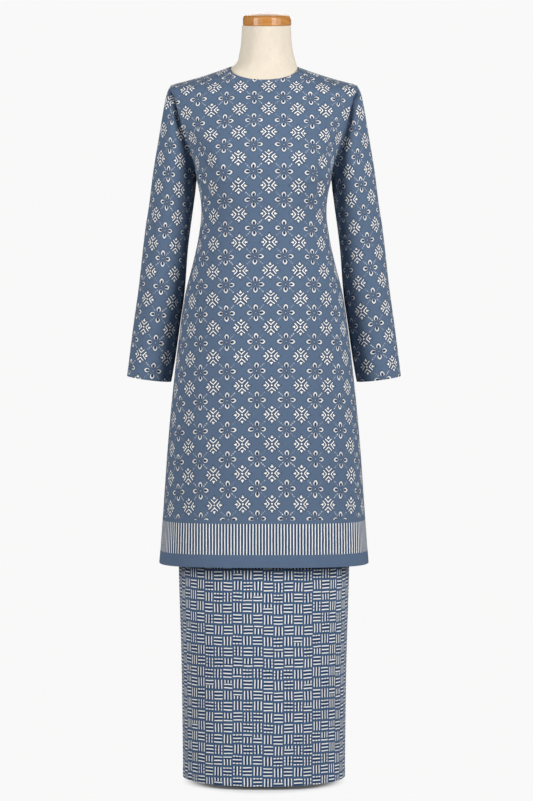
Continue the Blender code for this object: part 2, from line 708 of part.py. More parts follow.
def make_stand(finish):
    pole_foot = BASE_BOSS_TOP + SEAM_GAP
    pole_top = FORM_BODY[0].height - SEAM_GAP
    loft("stand_pole", round_rings([(POLE_RADIUS, pole_foot), (POLE_RADIUS, pole_top)], 20), finish)
    profile = [
        (BASE_RADIUS - BASE_BEVEL / 2, 0.0),
        (BASE_RADIUS, BASE_BEVEL / 2),
        (BASE_RADIUS, BASE_THICKNESS - BASE_BEVEL),
        (BASE_RADIUS - BASE_BEVEL, BASE_THICKNESS),
        (BASE_BOSS_RADIUS, BASE_THICKNESS + 0.003),
        (POLE_RADIUS + 0.006, BASE_BOSS_TOP - 0.004),
        (POLE_RADIUS + 0.004, BASE_BOSS_TOP),
    ]
    loft("stand_base", round_rings(profile, 36), finish)


# ---------------------------------------------------------------- zip


def make_zip_tape(back, finish):
    """The tape behind the centre back seam, laid on the inside of the two back panels."""
    heights = back.points[:, -1, 2]
    rows = [i for i in range(len(heights)) if ZIP_FOOT < heights[i] < ZIP_TOP]
    lines = [tape_line(back.points[i], back.normals[i]) for i in rows]
    share = (ZIP_TOP - heights[-2]) / (heights[-1] - heights[-2])
    below, above = (tape_line(back.points[i], back.normals[i]) for i in (-2, -1))
    lines.append(below + (above - below) * share)
    outer = np.array(lines)[:, ::-1]
    wall_object("zip_tape", outer, grid_normals(outer), TAPE_WALL, finish)


def tape_line(points, normals):
    """Three points across the tape under one row of the left back panel."""
    middle = points[-1] * np.array((0, 1, 1))
    edge = middle + (points[-2] - middle) * TAPE_HALF_WIDTH / points[-2, 0]
    line = np.array([edge * np.array((-1, 1, 1)), middle, edge])
    return line - normals[-1] * (CLOTH + TAPE_GAP)


def box_at(mesh, low, high):
    """Adds a box between two corners to a bmesh."""
    made = bmesh.ops.create_cube(mesh, size=1.0)["verts"]
    size = Vector(high) - Vector(low)
    bmesh.ops.scale(mesh, vec=size, verts=made)
    bmesh.ops.translate(mesh, vec=(Vector(low) + Vector(high)) / 2, verts=made)
    return made


def nape_frame(back):
    """The zip slider's frame on the nape: origin on the pull's pin, local +Y out of the cloth."""
    line = back.points[:, -1]
    here = np.array([np.interp(SLIDER_HEIGHT, line[:, 2], line[:, k]) for k in range(3)])
    below = np.array([np.interp(SLIDER_HEIGHT - SLIDER_STEP, line[:, 2], line[:, k]) for k in range(3)])
    lean = math.atan2(below[1] - here[1], here[2] - below[2])
    turn = Matrix.Rotation(lean, 4, "X")
    out = turn @ Vector((0, 1, 0))
    surface = Vector((0, here[1], here[2]))
    rise = SEAM_GAP + SLIDER_SIZE[1] + BRIDGE_RISE / 2
    return Matrix.Translation(surface + out * rise) @ turn


def make_slider(frame, finish):
    """The slider's body with its bridge, a strap that the pull's pin turns under."""
    body_top = -BRIDGE_RISE / 2
    mesh = bmesh.new()
    width, thick, length = SLIDER_SIZE
    box_at(mesh, (-width / 2, body_top - thick, -length / 2), (width / 2, body_top, length / 2))
    bmesh.ops.bevel(mesh, geom=mesh.edges[:], offset=0.0006, segments=2, affect="EDGES")
    body = mesh_object("zip_slider", mesh, finish)

    strap = bmesh.new()
    outline = bridge_outline(BRIDGE_HALF_LENGTH, BRIDGE_RISE / 2 + BRIDGE_STRAP)
    hole = bridge_outline(BRIDGE_HALF_LENGTH - BRIDGE_STRAP, BRIDGE_RISE / 2)
    sides = []
    for x in (-BRIDGE_HALF_WIDTH, BRIDGE_HALF_WIDTH):
        sides.append([[strap.verts.new((x, y, z)) for y, z in line] for line in (outline, hole)])
    count = len(outline)
    for j in range(count - 1):
        for x_side, order in ((0, 1), (1, -1)):
            out, inn = sides[x_side]
            strap.faces.new((out[j], out[j + 1], inn[j + 1], inn[j])[::order])
        strap.faces.new((sides[0][0][j], sides[1][0][j], sides[1][0][j + 1], sides[0][0][j + 1]))
        strap.faces.new((sides[0][1][j], sides[0][1][j + 1], sides[1][1][j + 1], sides[1][1][j]))
    for j in (0, count - 1):
        strap.faces.new((sides[0][0][j], sides[0][1][j], sides[1][1][j], sides[1][0][j]))
    bmesh.ops.recalc_face_normals(strap, faces=strap.faces[:])
    bridge = mesh_object("zip_bridge_joined", strap, finish)
    bridge.hide_render = True
    bridge.display_type = "WIRE"
    join = body.modifiers.new("bridge", "BOOLEAN")
    join.operation = "UNION"
    join.object = bridge
    body.matrix_world = frame
    bridge.matrix_world = frame


def bridge_outline(half_length, rise):
    """An arch from one foot, sunk in the slider's body, over the pin to the other foot."""
    foot = -BRIDGE_RISE / 2 - 0.0008
    points = [(foot, -half_length)]
    steps = 6
    for i in range(steps + 1):
        turn = math.pi * i / steps
        points.append((rise * math.sin(turn) ** 0.7, -half_length * math.cos(turn)))
    points.append((foot, half_length))
    return points


def pull_outline():
    """Half of the pull's teardrop, as (half width, distance below the pin)."""
    steps = 7
    points = [(PULL_NECK_HALF_WIDTH, -PULL_PIN_RADIUS)]
    start = PULL_WINDOW_LENGTH
    points.append((PULL_NECK_HALF_WIDTH, start))
    for i in range(1, steps + 1):
        t = i / steps
        swell = PULL_HALF_WIDTH - PULL_NECK_HALF_WIDTH
        wide = PULL_NECK_HALF_WIDTH + swell * smooth_step(t * 1.6)
        round_off = math.sqrt(max(1 - max((t - 0.72) / 0.28, 0.0) ** 2, 0.0))
        points.append((wide * max(round_off, 0.12), start + (PULL_LENGTH - start) * t))
    return points


def make_pull(frame, finish):
    """The teardrop pull: a flat tab whose top bar is the pin under the slider's bridge."""
    mesh = bmesh.new()
    half = pull_outline()
    outline = [(x, -drop) for x, drop in half] + [(-x, -drop) for x, drop in reversed(half)]
    thick = PULL_PIN_RADIUS
    front = [mesh.verts.new((x, thick, z)) for x, z in outline]
    back = [mesh.verts.new((x, -thick, z)) for x, z in outline]
    mesh.faces.new(front)
    mesh.faces.new(back[::-1])
    for j in range(len(outline)):
        k = (j + 1) % len(outline)
        mesh.faces.new((front[j], back[j], back[k], front[k]))
    bmesh.ops.recalc_face_normals(mesh, faces=mesh.faces[:])
    tab = mesh_object("zip_pull", mesh, finish)

    hole = bmesh.new()
    box_at(hole, (-PULL_WINDOW_HALF_WIDTH, -0.003, -PULL_WINDOW_LENGTH),
           (PULL_WINDOW_HALF_WIDTH, 0.003, -PULL_PIN_RADIUS))
    window = mesh_object("zip_pull_window", hole, finish)
    window.hide_render = True
    window.display_type = "WIRE"
    cut = tab.modifiers.new("window", "BOOLEAN")
    cut.operation = "DIFFERENCE"
    cut.object = window
    tab.matrix_world = frame
    window.matrix_world = frame


# ---------------------------------------------------------------- the whole outfit


def main():
    for old in list(bpy.data.objects):
        bpy.data.objects.remove(old)
    tunic_cloth = material("tunic_cloth", BATIK_BLUE, 0.82)
    skirt_cloth = material("skirt_cloth", SKIRT_BLUE, 0.82)
    zip_finish = material("zip_metal", ZIP_BLUE, 0.45)
    panels = make_panels()
    make_torso(panels, material("form_linen", LINEN, 0.9))
    make_tunic(panels, tunic_cloth)
    make_skirt(skirt_cloth)
    make_waistband(skirt_cloth)
    make_zip_tape(panels[1], material("zip_tape", ZIP_BLUE, 0.8))
    frame = nape_frame(panels[1])
    make_slider(frame, zip_finish)
    make_pull(frame, zip_finish)
    make_cap(material("form_wood", VARNISHED_WOOD, 0.3))
    make_stand(material("stand_steel", PAINTED_STEEL, 0.4, 0.6))


main()
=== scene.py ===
"""Baju kurung on a dress form: its cloth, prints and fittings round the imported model, in a studio.

Metres, +Z up, the front faces -Y and +X is the wearer's left, as in the model. The cloth is
rebuilt finer on the same surfaces from the same named sizes, with its creases and its print.
"""
import math
from collections import namedtuple
from functools import partialmethod

import bmesh
import bpy
import numpy as np
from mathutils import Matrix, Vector


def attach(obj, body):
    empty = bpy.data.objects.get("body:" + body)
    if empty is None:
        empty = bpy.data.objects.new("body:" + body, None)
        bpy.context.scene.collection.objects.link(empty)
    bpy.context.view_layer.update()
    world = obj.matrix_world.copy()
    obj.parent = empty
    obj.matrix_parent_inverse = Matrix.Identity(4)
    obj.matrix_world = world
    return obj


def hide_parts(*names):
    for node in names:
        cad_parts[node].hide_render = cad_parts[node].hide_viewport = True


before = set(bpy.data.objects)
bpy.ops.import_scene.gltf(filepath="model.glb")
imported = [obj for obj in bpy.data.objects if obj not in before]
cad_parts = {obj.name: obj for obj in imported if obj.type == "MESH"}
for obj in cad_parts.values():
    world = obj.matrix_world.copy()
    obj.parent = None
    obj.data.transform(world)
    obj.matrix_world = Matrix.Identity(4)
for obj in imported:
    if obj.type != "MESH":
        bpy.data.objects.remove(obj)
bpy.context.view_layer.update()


# ---------------------------------------------------------------- sizes, as in the part's source

BODY_COLUMNS = 12
NECK_SHARE = 5 / 12
BODY_ROWS = 19
ARMHOLE_ROWS = 10
TUNIC_HEM = 0.424
FRONT_HEM_RISE = 0.008
SIDE_HEM_RISE = 0.004
ARMPIT = 1.169
NECK_SIDE = (0.067, 0.008, 1.388)
SHOULDER_TIP = (0.180, 0.008, 1.354)
SHOULDER_SAG = 0.0022
FRONT_NECK_HEIGHT = 1.366
BACK_NECK_HEIGHT = 1.390

BodyRow = namedtuple("BodyRow", "height half_width front back squareness", defaults=(2.35,))
TUNIC_BODY = (
    BodyRow(0.424, 0.2030, 0.160, 0.152),
    BodyRow(0.527, 0.1955, 0.155, 0.147),
    BodyRow(0.667, 0.1855, 0.149, 0.140),
    BodyRow(0.772, 0.1755, 0.144, 0.134),
    BodyRow(0.858, 0.1655, 0.139, 0.127),
    BodyRow(0.951, 0.1520, 0.133, 0.118, 2.38),
    BodyRow(1.013, 0.1365, 0.128, 0.110, 2.42),
    BodyRow(1.060, 0.1265, 0.125, 0.105, 2.50),
    BodyRow(1.107, 0.1210, 0.124, 0.101, 2.62),
    BodyRow(1.140, 0.1235, 0.1270, 0.101, 2.75),
    BodyRow(1.169, 0.1295, 0.1288, 0.102, 2.90),
)
YokeRow = namedtuple("YokeRow", "height half_width front back squareness droop")
YOKE = (
    YokeRow(1.169, 0.1295, 0.1288, 0.1020, 2.90, 0.345),
    YokeRow(1.198, 0.1335, 0.1290, 0.1035, 2.75, 0.560),
    YokeRow(1.229, 0.1420, 0.1222, 0.1045, 2.60, 0.800),
    YokeRow(1.268, 0.1556, 0.1065, 0.1035, 2.50, 0.950),
    YokeRow(1.303, 0.1680, 0.0895, 0.1000, 2.40, 0.920),
    YokeRow(1.330, 0.1752, 0.0735, 0.0935, 2.30, 0.800),
    YokeRow(1.354, 0.1800, 0.0580, 0.0860, 2.30, 0.660),
    YokeRow(1.366, 0.1401, 0.0500, 0.0815, 2.30, 0.600),
    YokeRow(1.390, 0.0604, 0.0350, 0.0720, 2.20, 0.580),
)
ARMHOLE_FRONT = 0.054
ARMHOLE_BACK = 0.062
ARMHOLE_EGG = (0.44, 0.56)
YOKE_SPREAD = 1.3            # above 1 the yoke's columns spread outwards late

Flare = namedtuple("Flare", "angle width depth top")
FLARES = (
    Flare(-152, 17, 0.0040, 0.95),
    Flare(-118, 13, 0.0022, 0.80),
    Flare(-64, 14, 0.0024, 0.84),
    Flare(-30, 16, 0.0036, 0.97),
    Flare(33, 17, 0.0042, 0.96),
    Flare(66, 12, 0.0026, 0.82),
    Flare(109, 13, 0.0028, 0.84),
    Flare(146, 18, 0.0040, 0.98),
)
CHEST_FOLD_DEPTH = 0.0045
CHEST_FOLD_TOP = (0.143, 1.250)
CHEST_FOLD_FOOT = (0.100, 1.120)
CHEST_FOLD_WIDTH = 0.011

ArmRow = namedtuple("ArmRow", "height centre_x centre_y half_width half_depth")
SLEEVE_TUBE = (
    ArmRow(1.150, 0.1756, 0.007, 0.0437, 0.0620),
    ArmRow(1.050, 0.1892, 0.009, 0.0434, 0.0570),
    ArmRow(0.950, 0.1990, 0.011, 0.0450, 0.0530),
    ArmRow(0.900, 0.2062, 0.012, 0.0449, 0.0515),
    ArmRow(0.850, 0.2130, 0.012, 0.0448, 0.0500),
    ArmRow(0.820, 0.2171, 0.011, 0.0444, 0.0490),
    ArmRow(0.784, 0.2226, 0.010, 0.0430, 0.0475),
)
SLEEVE_HANG = math.radians(7.3)
SLEEVE_STEP = 0.0305         # from one of the model's level sections of the sleeve to the next
CapHandle = namedtuple("CapHandle", "turn outward forward down reach")
SLEEVE_CAP = (
    CapHandle(0.00, 0.20, 0.00, 0.98, 0.006),
    CapHandle(0.25, 0.42, 0.25, 0.87, 0.020),
    CapHandle(0.50, 0.55, 0.12, 0.80, 0.027),
    CapHandle(0.75, 0.52, 0.14, 0.79, 0.017),
    CapHandle(1.00, 0.48, 0.00, 0.88, 0.009),
)
CAP_PULL = 0.42              # how far the tube's own direction reaches up into the cap
CAP_SPACING = 1.25           # above 1 the cap's rows are closer together near the seam
SKIRT_HEM = 0.006
SKIRT_TOP = 1.004
SKIRT = (
    BodyRow(0.006, 0.1575, 0.143, 0.140),
    BodyRow(0.240, 0.1605, 0.142, 0.137),
    BodyRow(0.420, 0.1655, 0.140, 0.134),
    BodyRow(0.640, 0.1660, 0.137, 0.128),
    BodyRow(0.800, 0.1600, 0.131, 0.120),
    BodyRow(0.880, 0.1530, 0.125, 0.114),
    BodyRow(0.950, 0.1360, 0.111, 0.104),
    BodyRow(1.004, 0.1170, 0.099, 0.094),
)
WAISTBAND_HEIGHT = 0.030
SEAM_GAP = 0.0003

CLOTH = 0.0016               # the model's cloth, over the form with a little air
FORM_BODY = (
    BodyRow(0.745, 0.1440, 0.110, 0.102, 2.2),
    BodyRow(0.800, 0.1490, 0.115, 0.106, 2.2),
    BodyRow(0.880, 0.1440, 0.112, 0.103, 2.2),
    BodyRow(0.950, 0.1250, 0.100, 0.094, 2.2),
    BodyRow(1.020, 0.1090, 0.090, 0.086, 2.2),
    BodyRow(1.070, 0.1070, 0.095, 0.086, 2.3),
    BodyRow(1.120, 0.1120, 0.107, 0.090, 2.45),
    BodyRow(1.169, 0.1215, 0.120, 0.094, 2.8),
)
NECK_MIDDLE = 0.006
FORM_EASE_ARMPIT = 0.0064
FORM_EASE_SHOULDER = 0.0021
ARMPLATE_INSET = 0.0030
NECK = (
    BodyRow(1.398, 0.0568, 0.046, 0.064, 2.0),
    BodyRow(1.415, 0.0522, 0.045, 0.060, 2.0),
    BodyRow(1.433, 0.0492, 0.045, 0.058, 2.0),
    BodyRow(1.4685, 0.0470, 0.047, 0.055, 2.0),
)
NECK_SHIFT = 0.0048


# ---------------------------------------------------------------- the garment's surfaces


def smooth_step(t):
    t = np.clip(t, 0.0, 1.0)
    return t * t * (3 - 2 * t)


def bell(distance, width):
    """1 at no distance and less the further away, next to nothing at twice the width."""
    return np.exp(-((distance / width) ** 2))


def hump(distance, width):
    """0 at no distance, 1 at the width and less again beyond it."""
    return distance / width * np.exp(1 - distance / width)


def read_table(rows, column, at):
    """The values of a named column at some places, on a smooth curve through the rows."""
    places = np.array([row[0] for row in rows], float)
    values = np.array([getattr(row, column) for row in rows], float)
    if places[0] > places[-1]:
        places, values = places[::-1], values[::-1]
    at = np.clip(at, places[0], places[-1])
    k = np.clip(np.searchsorted(places, at) - 1, 0, len(places) - 2)
    slopes = np.diff(values) / np.diff(places)
    tangents = np.concatenate([slopes[:1], (slopes[:-1] + slopes[1:]) / 2, slopes[-1:]])
    step = places[k + 1] - places[k]
    t = (at - places[k]) / step
    return (values[k] * (2 * t**3 - 3 * t**2 + 1) + tangents[k] * step * (t**3 - 2 * t**2 + t)
            + values[k + 1] * (3 * t**2 - 2 * t**3) + tangents[k + 1] * step * (t**3 - t**2))


def oval(half_width, depth, squareness, across):
    """A quarter of a squared oval: across runs from 0 on the centre line to 1 at the side."""
    angle = np.asarray(across) * math.pi / 2
    power = 2 / squareness
    return half_width * np.sin(angle) ** power, depth * np.maximum(np.cos(angle), 0.0) ** power


def flare_depth(x, y, height):
    angle = np.degrees(np.arctan2(y, x))
    pushed = 0.0
    for fold in FLARES:
        fade = smooth_step((fold.top - height) / (fold.top - TUNIC_HEM))
        pushed = pushed + fold.depth * fade * bell(angle - fold.angle, fold.width)
    return pushed


def chest_fold_depth(x, height):
    line = np.subtract(CHEST_FOLD_FOOT, CHEST_FOLD_TOP)
    here_x, here_z = x - CHEST_FOLD_TOP[0], height - CHEST_FOLD_TOP[1]
    along = (here_x * line[0] + here_z * line[1]) / (line @ line)
    across = (line[0] * here_z - line[1] * here_x) / np.linalg.norm(line) / CHEST_FOLD_WIDTH
    return CHEST_FOLD_DEPTH * np.sin(math.pi * np.clip(along, 0, 1)) * np.exp(-across * across)


def lower_body(across, share, front):
    """Points of a half panel below the armpit; share runs from the hem to the armpit."""
    turn = across * math.pi / 2
    middle_rise = FRONT_HEM_RISE if front else 0.0
    hem = TUNIC_HEM + middle_rise * np.cos(turn) ** 2 + SIDE_HEM_RISE * np.sin(turn) ** 2
    height = hem + (ARMPIT - hem) * share
    depth = read_table(TUNIC_BODY, "front" if front else "back", height)
    half_width = read_table(TUNIC_BODY, "half_width", height)
    x, y = oval(half_width, depth, read_table(TUNIC_BODY, "squareness", height), across)
    y = -y if front else y
    out = 1 + flare_depth(x, y, height) / np.hypot(x, y)
    return np.stack([x * out, y * out, height], axis=-1)


def yoke_half_width(height):
    """Half the width of a level section, up to the armhole or to the straight shoulder seam."""
    tip_x, _, tip_z = SHOULDER_TIP
    slope = (NECK_SIDE[0] - tip_x) / (NECK_SIDE[2] - tip_z)
    seam_x = tip_x + slope * (height - tip_z)
    return np.where(height <= tip_z, read_table(YOKE, "half_width", height), seam_x)


def shoulder_share(across):
    """How far a column ends along the shoulder seam: 0 at the neckline and 1 at the tip."""
    return np.maximum(across - NECK_SHARE, 0.0) / (1 - NECK_SHARE)


def top_edge(across, front):
    """Where a half panel's columns end: first along the neckline, then the shoulder seam."""
    side_x, _, side_z = NECK_SIDE
    middle_z = FRONT_NECK_HEIGHT if front else BACK_NECK_HEIGHT
    turn = np.minimum(across / NECK_SHARE, 1.0) * math.pi / 2
    along = shoulder_share(across)
    x = side_x * np.sin(turn) + (SHOULDER_TIP[0] - side_x) * along
    return x, side_z + (middle_z - side_z) * np.cos(turn) + (SHOULDER_TIP[2] - side_z) * along


def yoke_depth(x, height, front):
    """How far forward or back the cloth lies above the armpit, at some x from 0 outwards."""
    side = -1 if front else 1
    up_armhole = np.clip((height - ARMPIT) / (SHOULDER_TIP[2] - ARMPIT), 0.0, 1.0)
    low, high = ARMHOLE_EGG
    widest = low / (low + high)
    egg = (up_armhole / widest) ** low * ((1 - up_armhole) / (1 - widest)) ** high
    edge_y = SHOULDER_TIP[1] * up_armhole + side * (ARMHOLE_FRONT if front else ARMHOLE_BACK) * egg
    centre_y = side * read_table(YOKE, "front" if front else "back", height)
    out = np.clip(x / yoke_half_width(height), 0.0, 1.0)
    squareness, droop = (read_table(YOKE, name, height) for name in ("squareness", "droop"))
    y = edge_y + (centre_y - edge_y) * (1 - out**squareness) ** droop
    return y + chest_fold_depth(x, height) if front else y


def upper_body(across, share, front):
    """Points of a half panel above the armpit; share runs from the armpit to the top edge."""
    foot_x = lower_body(across, 1.0, front)[..., 0]
    top_x, top_z = top_edge(across, front)
    foot_reach, top_reach = foot_x / TUNIC_BODY[-1].half_width, top_x / SHOULDER_TIP[0]
    reach = foot_reach + (top_reach - foot_reach) * share**YOKE_SPREAD
    edge_height = ARMPIT + (SHOULDER_TIP[2] - ARMPIT) * share
    x = reach * yoke_half_width(edge_height)
    height = ARMPIT + (top_z - ARMPIT) * share
    y = yoke_depth(x, height, front)
    sag = SHOULDER_SAG * np.sin(math.pi * shoulder_share(across)) * share**4
    return np.stack([x, y, height - sag], axis=-1)


def cap_handles(turns, side):
    """The direction and reach with which the sleeve leaves the armhole at some turns."""
    lift = 1 - np.abs(1 - np.abs(turns) % 2)
    forward = np.where(np.sin(math.pi * turns) > 0, 1, -1)
    direction = np.stack([side * read_table(SLEEVE_CAP, "outward", lift),
                          -forward * read_table(SLEEVE_CAP, "forward", lift),
                          -read_table(SLEEVE_CAP, "down", lift)], axis=-1)
    return direction * read_table(SLEEVE_CAP, "reach", lift)[:, None]


def sleeve_ring(height, side, turns):
    """A section of the sleeve's tube, square to the hanging arm."""
    centre = [read_table(SLEEVE_TUBE, name, height) for name in ("centre_x", "centre_y")]
    outward = -np.cos(math.pi * turns) * read_table(SLEEVE_TUBE, "half_width", height)
    forward = np.sin(math.pi * turns) * read_table(SLEEVE_TUBE, "half_depth", height)
    around = (outward * math.cos(SLEEVE_HANG), -forward, outward * math.sin(SLEEVE_HANG))
    return (np.array([*centre, height]) + np.stack(around, axis=-1)) * (side, 1, 1)


def sleeve_rows(armhole, side, cap_rows, tube_rows):
    """Rows of points from the cuff up to the armhole seam, which is itself the last row."""
    turns = np.arange(len(armhole)) * 2 / len(armhole) * side
    top, cuff = SLEEVE_TUBE[0].height, SLEEVE_TUBE[-1].height
    heights = top + (cuff - top) * np.arange(tube_rows + 1) / tube_rows
    tube = [sleeve_ring(height, side, turns) for height in heights]
    down_arm = sleeve_ring(top - SLEEVE_STEP, side, turns) - tube[0]
    down_arm /= np.linalg.norm(down_arm, axis=1, keepdims=True)
    span = np.linalg.norm(tube[0] - armhole, axis=1, keepdims=True)
    first = armhole + cap_handles(turns, side)
    second = tube[0] - down_arm * span * CAP_PULL
    cap = []
    for i in range(cap_rows):
        t = (i / cap_rows) ** CAP_SPACING
        cap.append(armhole * (1 - t) ** 3 + first * 3 * t * (1 - t) ** 2
                   + second * 3 * t**2 * (1 - t) + tube[0] * t**3)
    return np.array(cap + tube)[::-1].copy()


# ---------------------------------------------------------------- finer grids of the panels

FINENESS = 5                 # each of the model's columns and rows is cut into this many
SHELL = 0.0013               # thickness of the cloth
NEAR_SEAM = (0.0022, 0.0055, 0.0105, 0.0245, 0.0415)     # more columns, as shares of a half panel
NEAR_HEM = (0.0018, 0.0048)
SEAM_DIP = 0.0007
SEAM_DIP_WIDTH = 0.0022
SAME = 1e-6                  # values closer than this are the same

# s is the distance of each point from the centre line, along its row.
Panel = namedtuple("Panel", "points normals s")


def half_columns():
    even = np.linspace(0, 1, BODY_COLUMNS * FINENESS + 1)
    near = np.array(NEAR_SEAM)
    return np.unique(np.concatenate([even, near, 1 - near]))


def shoulder_columns():
    """How many of a half panel's columns end on the shoulder seam."""
    return int(np.sum(half_columns() >= NECK_SHARE - SAME))


def panel_shares():
    """The rows of a panel: 0 at the hem, 1 at the armpit and 2 at the top edge."""
    lower = np.concatenate([np.arange(BODY_ROWS * FINENESS) / (BODY_ROWS * FINENESS), NEAR_HEM])
    steps = ARMHOLE_ROWS * FINENESS
    upper = 1.5 - 0.5 * np.cos(math.pi * np.arange(steps + 1) / steps)
    return np.sort(lower), upper


def half_panel(front):
    """Rows of points from the centre line to the side seam and the armhole."""
    across = half_columns()[None, :]
    lower, upper = panel_shares()
    return np.concatenate([lower_body(across, lower[:, None], front),
                           upper_body(across, upper[:, None] - 1, front)])


def close_ring(grid):
    """Repeats a grid's first column after its last."""
    return np.concatenate([grid, grid[:, :1]], axis=1)


def grid_normals(grid, wrap=False):
    """Unit normals of a grid of points, by central differences."""
    if wrap:
        along = np.roll(grid, -1, axis=1) - np.roll(grid, 1, axis=1)
    else:
        along = np.gradient(grid, axis=1)
    normals = np.cross(along, np.gradient(grid, axis=0))
    return normals / np.linalg.norm(normals, axis=2, keepdims=True)


def share_normals(first, second):
    """Gives both sides of a seam the same normals, so that their edges stay together."""
    both = first + second
    both /= np.linalg.norm(both, axis=1, keepdims=True)
    first[:] = both
    second[:] = both


def arcs(points, start):
    """The distance along each row from a start column, level and with its sign."""
    steps = np.hypot(np.diff(points[..., 0], axis=1), np.diff(points[..., 1], axis=1))
    total = np.concatenate([np.zeros((len(points), 1)), np.cumsum(steps, axis=1)], axis=1)
    return total - total[:, start : start + 1]


def make_panels():
    """The tunic's front, left back and right back, each row from left to right as seen."""
    half_front, half_back = half_panel(True), half_panel(False)
    mirror = np.array((-1, 1, 1))
    front = np.concatenate([(half_front * mirror)[:, :0:-1], half_front], axis=1)
    grids = (front, half_back[:, ::-1].copy(), half_back * mirror)
    middle = front.shape[1] // 2
    starts = (middle, half_back.shape[1] - 1, 0)
    signs = (1, -1, -1)
    panels = [Panel(points, grid_normals(points), arcs(points, start) * sign)
              for points, start, sign in zip(grids, starts, signs)]
    front, left, right = panels
    for normals in (left.normals[:, -1], right.normals[:, 0]):
        normals[:, 0] = 0
        normals /= np.linalg.norm(normals, axis=1, keepdims=True)
    side = slice(0, len(panel_shares()[0]) + 1)
    share_normals(front.normals[side, -1], left.normals[side, 0])
    share_normals(front.normals[side, 0], right.normals[side, -1])
    shoulder = shoulder_columns()
    share_normals(front.normals[-1, -shoulder:], left.normals[-1, shoulder - 1 :: -1])
    share_normals(front.normals[-1, :shoulder], right.normals[-1, : -shoulder - 1 : -1])
    return front, left, right


# ---------------------------------------------------------------- creases

# A soft line in the cloth from one place to another, as (across, up) in metres of cloth; a
# depth above 0 is a ridge and below 0 a trough.
Crease = namedtuple("Crease", "x0 z0 x1 z1 width depth")
CREASE_ENDS = 0.8            # below 1 a crease keeps its depth until near its ends

FRONT_CREASES = (
    Crease(0.146, 1.254, 0.114, 1.180, 0.0075, -0.0058),
    Crease(0.112, 1.222, 0.125, 1.122, 0.0052, -0.0060),
    Crease(0.120, 1.250, 0.084, 1.130, 0.0100, 0.0016),
    Crease(-0.160, 1.270, -0.094, 1.172, 0.0080, -0.0075),
    Crease(-0.118, 1.262, -0.060, 1.164, 0.0120, 0.0022),
    Crease(-0.148, 1.206, -0.106, 1.112, 0.0080, -0.0052),
    Crease(-0.118, 1.105, -0.060, 1.060, 0.0110, -0.0008),
    Crease(0.112, 1.100, 0.050, 1.066, 0.0120, -0.0007),
    Crease(-0.150, 1.055, -0.118, 0.900, 0.0150, 0.0010),
    Crease(0.152, 1.040, 0.128, 0.905, 0.0140, 0.0009),
    Crease(-0.062, 0.930, -0.078, 0.560, 0.0210, 0.0016),
    Crease(-0.020, 0.820, -0.022, 0.470, 0.0240, -0.0012),
    Crease(0.055, 0.960, 0.070, 0.600, 0.0220, 0.0015),
    Crease(0.118, 0.900, 0.140, 0.500, 0.0200, -0.0014),
    Crease(-0.150, 0.860, -0.172, 0.470, 0.0180, -0.0016),
    Crease(0.030, 0.640, 0.036, 0.425, 0.0190, -0.0010),
    Crease(-0.118, 0.600, -0.128, 0.425, 0.0170, 0.0012),
    Crease(0.190, 0.700, 0.206, 0.430, 0.0160, 0.0012),
)
BACK_CREASES = (
    Crease(0.140, 1.262, 0.098, 1.160, 0.0120, -0.0018),
    Crease(-0.136, 1.268, -0.104, 1.150, 0.0110, -0.0016),
    Crease(0.104, 1.110, 0.036, 1.075, 0.0110, -0.0009),
    Crease(-0.098, 1.096, -0.044, 1.060, 0.0120, -0.0010),
    Crease(0.070, 1.030, 0.086, 0.620, 0.0210, 0.0016),
    Crease(-0.060, 0.990, -0.082, 0.560, 0.0220, 0.0015),
    Crease(0.022, 0.800, 0.030, 0.440, 0.0200, -0.0012),
    Crease(-0.120, 0.880, -0.140, 0.470, 0.0190, -0.0014),
    Crease(0.150, 0.760, 0.168, 0.430, 0.0180, -0.0013),
    Crease(-0.026, 0.640, -0.030, 0.425, 0.0170, 0.0010),
)
SLEEVE_CREASES = (
    Crease(-0.060, 0.395, 0.006, 0.440, 0.0100, -0.0016),
    Crease(-0.052, 0.350, 0.012, 0.372, 0.0120, 0.0010),
    Crease(-0.048, 0.300, 0.004, 0.318, 0.0110, -0.0010),
    Crease(0.026, 0.470, 0.040, 0.330, 0.0140, -0.0009),
    Crease(-0.030, 0.255, 0.030, 0.226, 0.0130, -0.0009),
    Crease(0.014, 0.196, 0.060, 0.160, 0.0140, 0.0008),
    Crease(0.030, 0.120, 0.038, 0.000, 0.0150, -0.0008),
    Crease(0.110, 0.420, 0.082, 0.300, 0.0130, -0.0013),
    Crease(0.130, 0.250, 0.096, 0.180, 0.0140, -0.0011),
    Crease(0.100, 0.130, 0.118, 0.010, 0.0150, 0.0009),
    Crease(-0.100, 0.430, -0.122, 0.330, 0.0120, -0.0013),
    Crease(-0.104, 0.230, -0.128, 0.120, 0.0140, 0.0008),
)
SKIRT_CREASES = (
    Crease(-0.070, 0.470, -0.076, 0.006, 0.0260, -0.0012),
    Crease(0.024, 0.430, 0.030, 0.006, 0.0230, 0.0011),
    Crease(0.110, 0.450, 0.104, 0.006, 0.0240, -0.0012),
    Crease(-0.150, 0.420, -0.146, 0.050, 0.0200, 0.0009),
    Crease(0.176, 0.380, 0.180, 0.006, 0.0190, 0.0009),
    Crease(-0.020, 0.230, -0.026, 0.006, 0.0170, -0.0007),
)


def crease_height(creases, x, z):
    """How far the creases lift the cloth at some places, soft at both ends and both sides."""
    lifted = np.zeros(np.broadcast(x, z).shape)
    for fold in creases:
        line = np.array((fold.x1 - fold.x0, fold.z1 - fold.z0))
        length = np.linalg.norm(line)
        along = ((x - fold.x0) * line[0] + (z - fold.z0) * line[1]) / length**2
        across = ((z - fold.z0) * line[0] - (x - fold.x0) * line[1]) / length / fold.width
        fade = np.sin(math.pi * np.clip(along, 0, 1)) ** CREASE_ENDS
        lifted += fold.depth * fade * np.exp(-across * across)
    return lifted


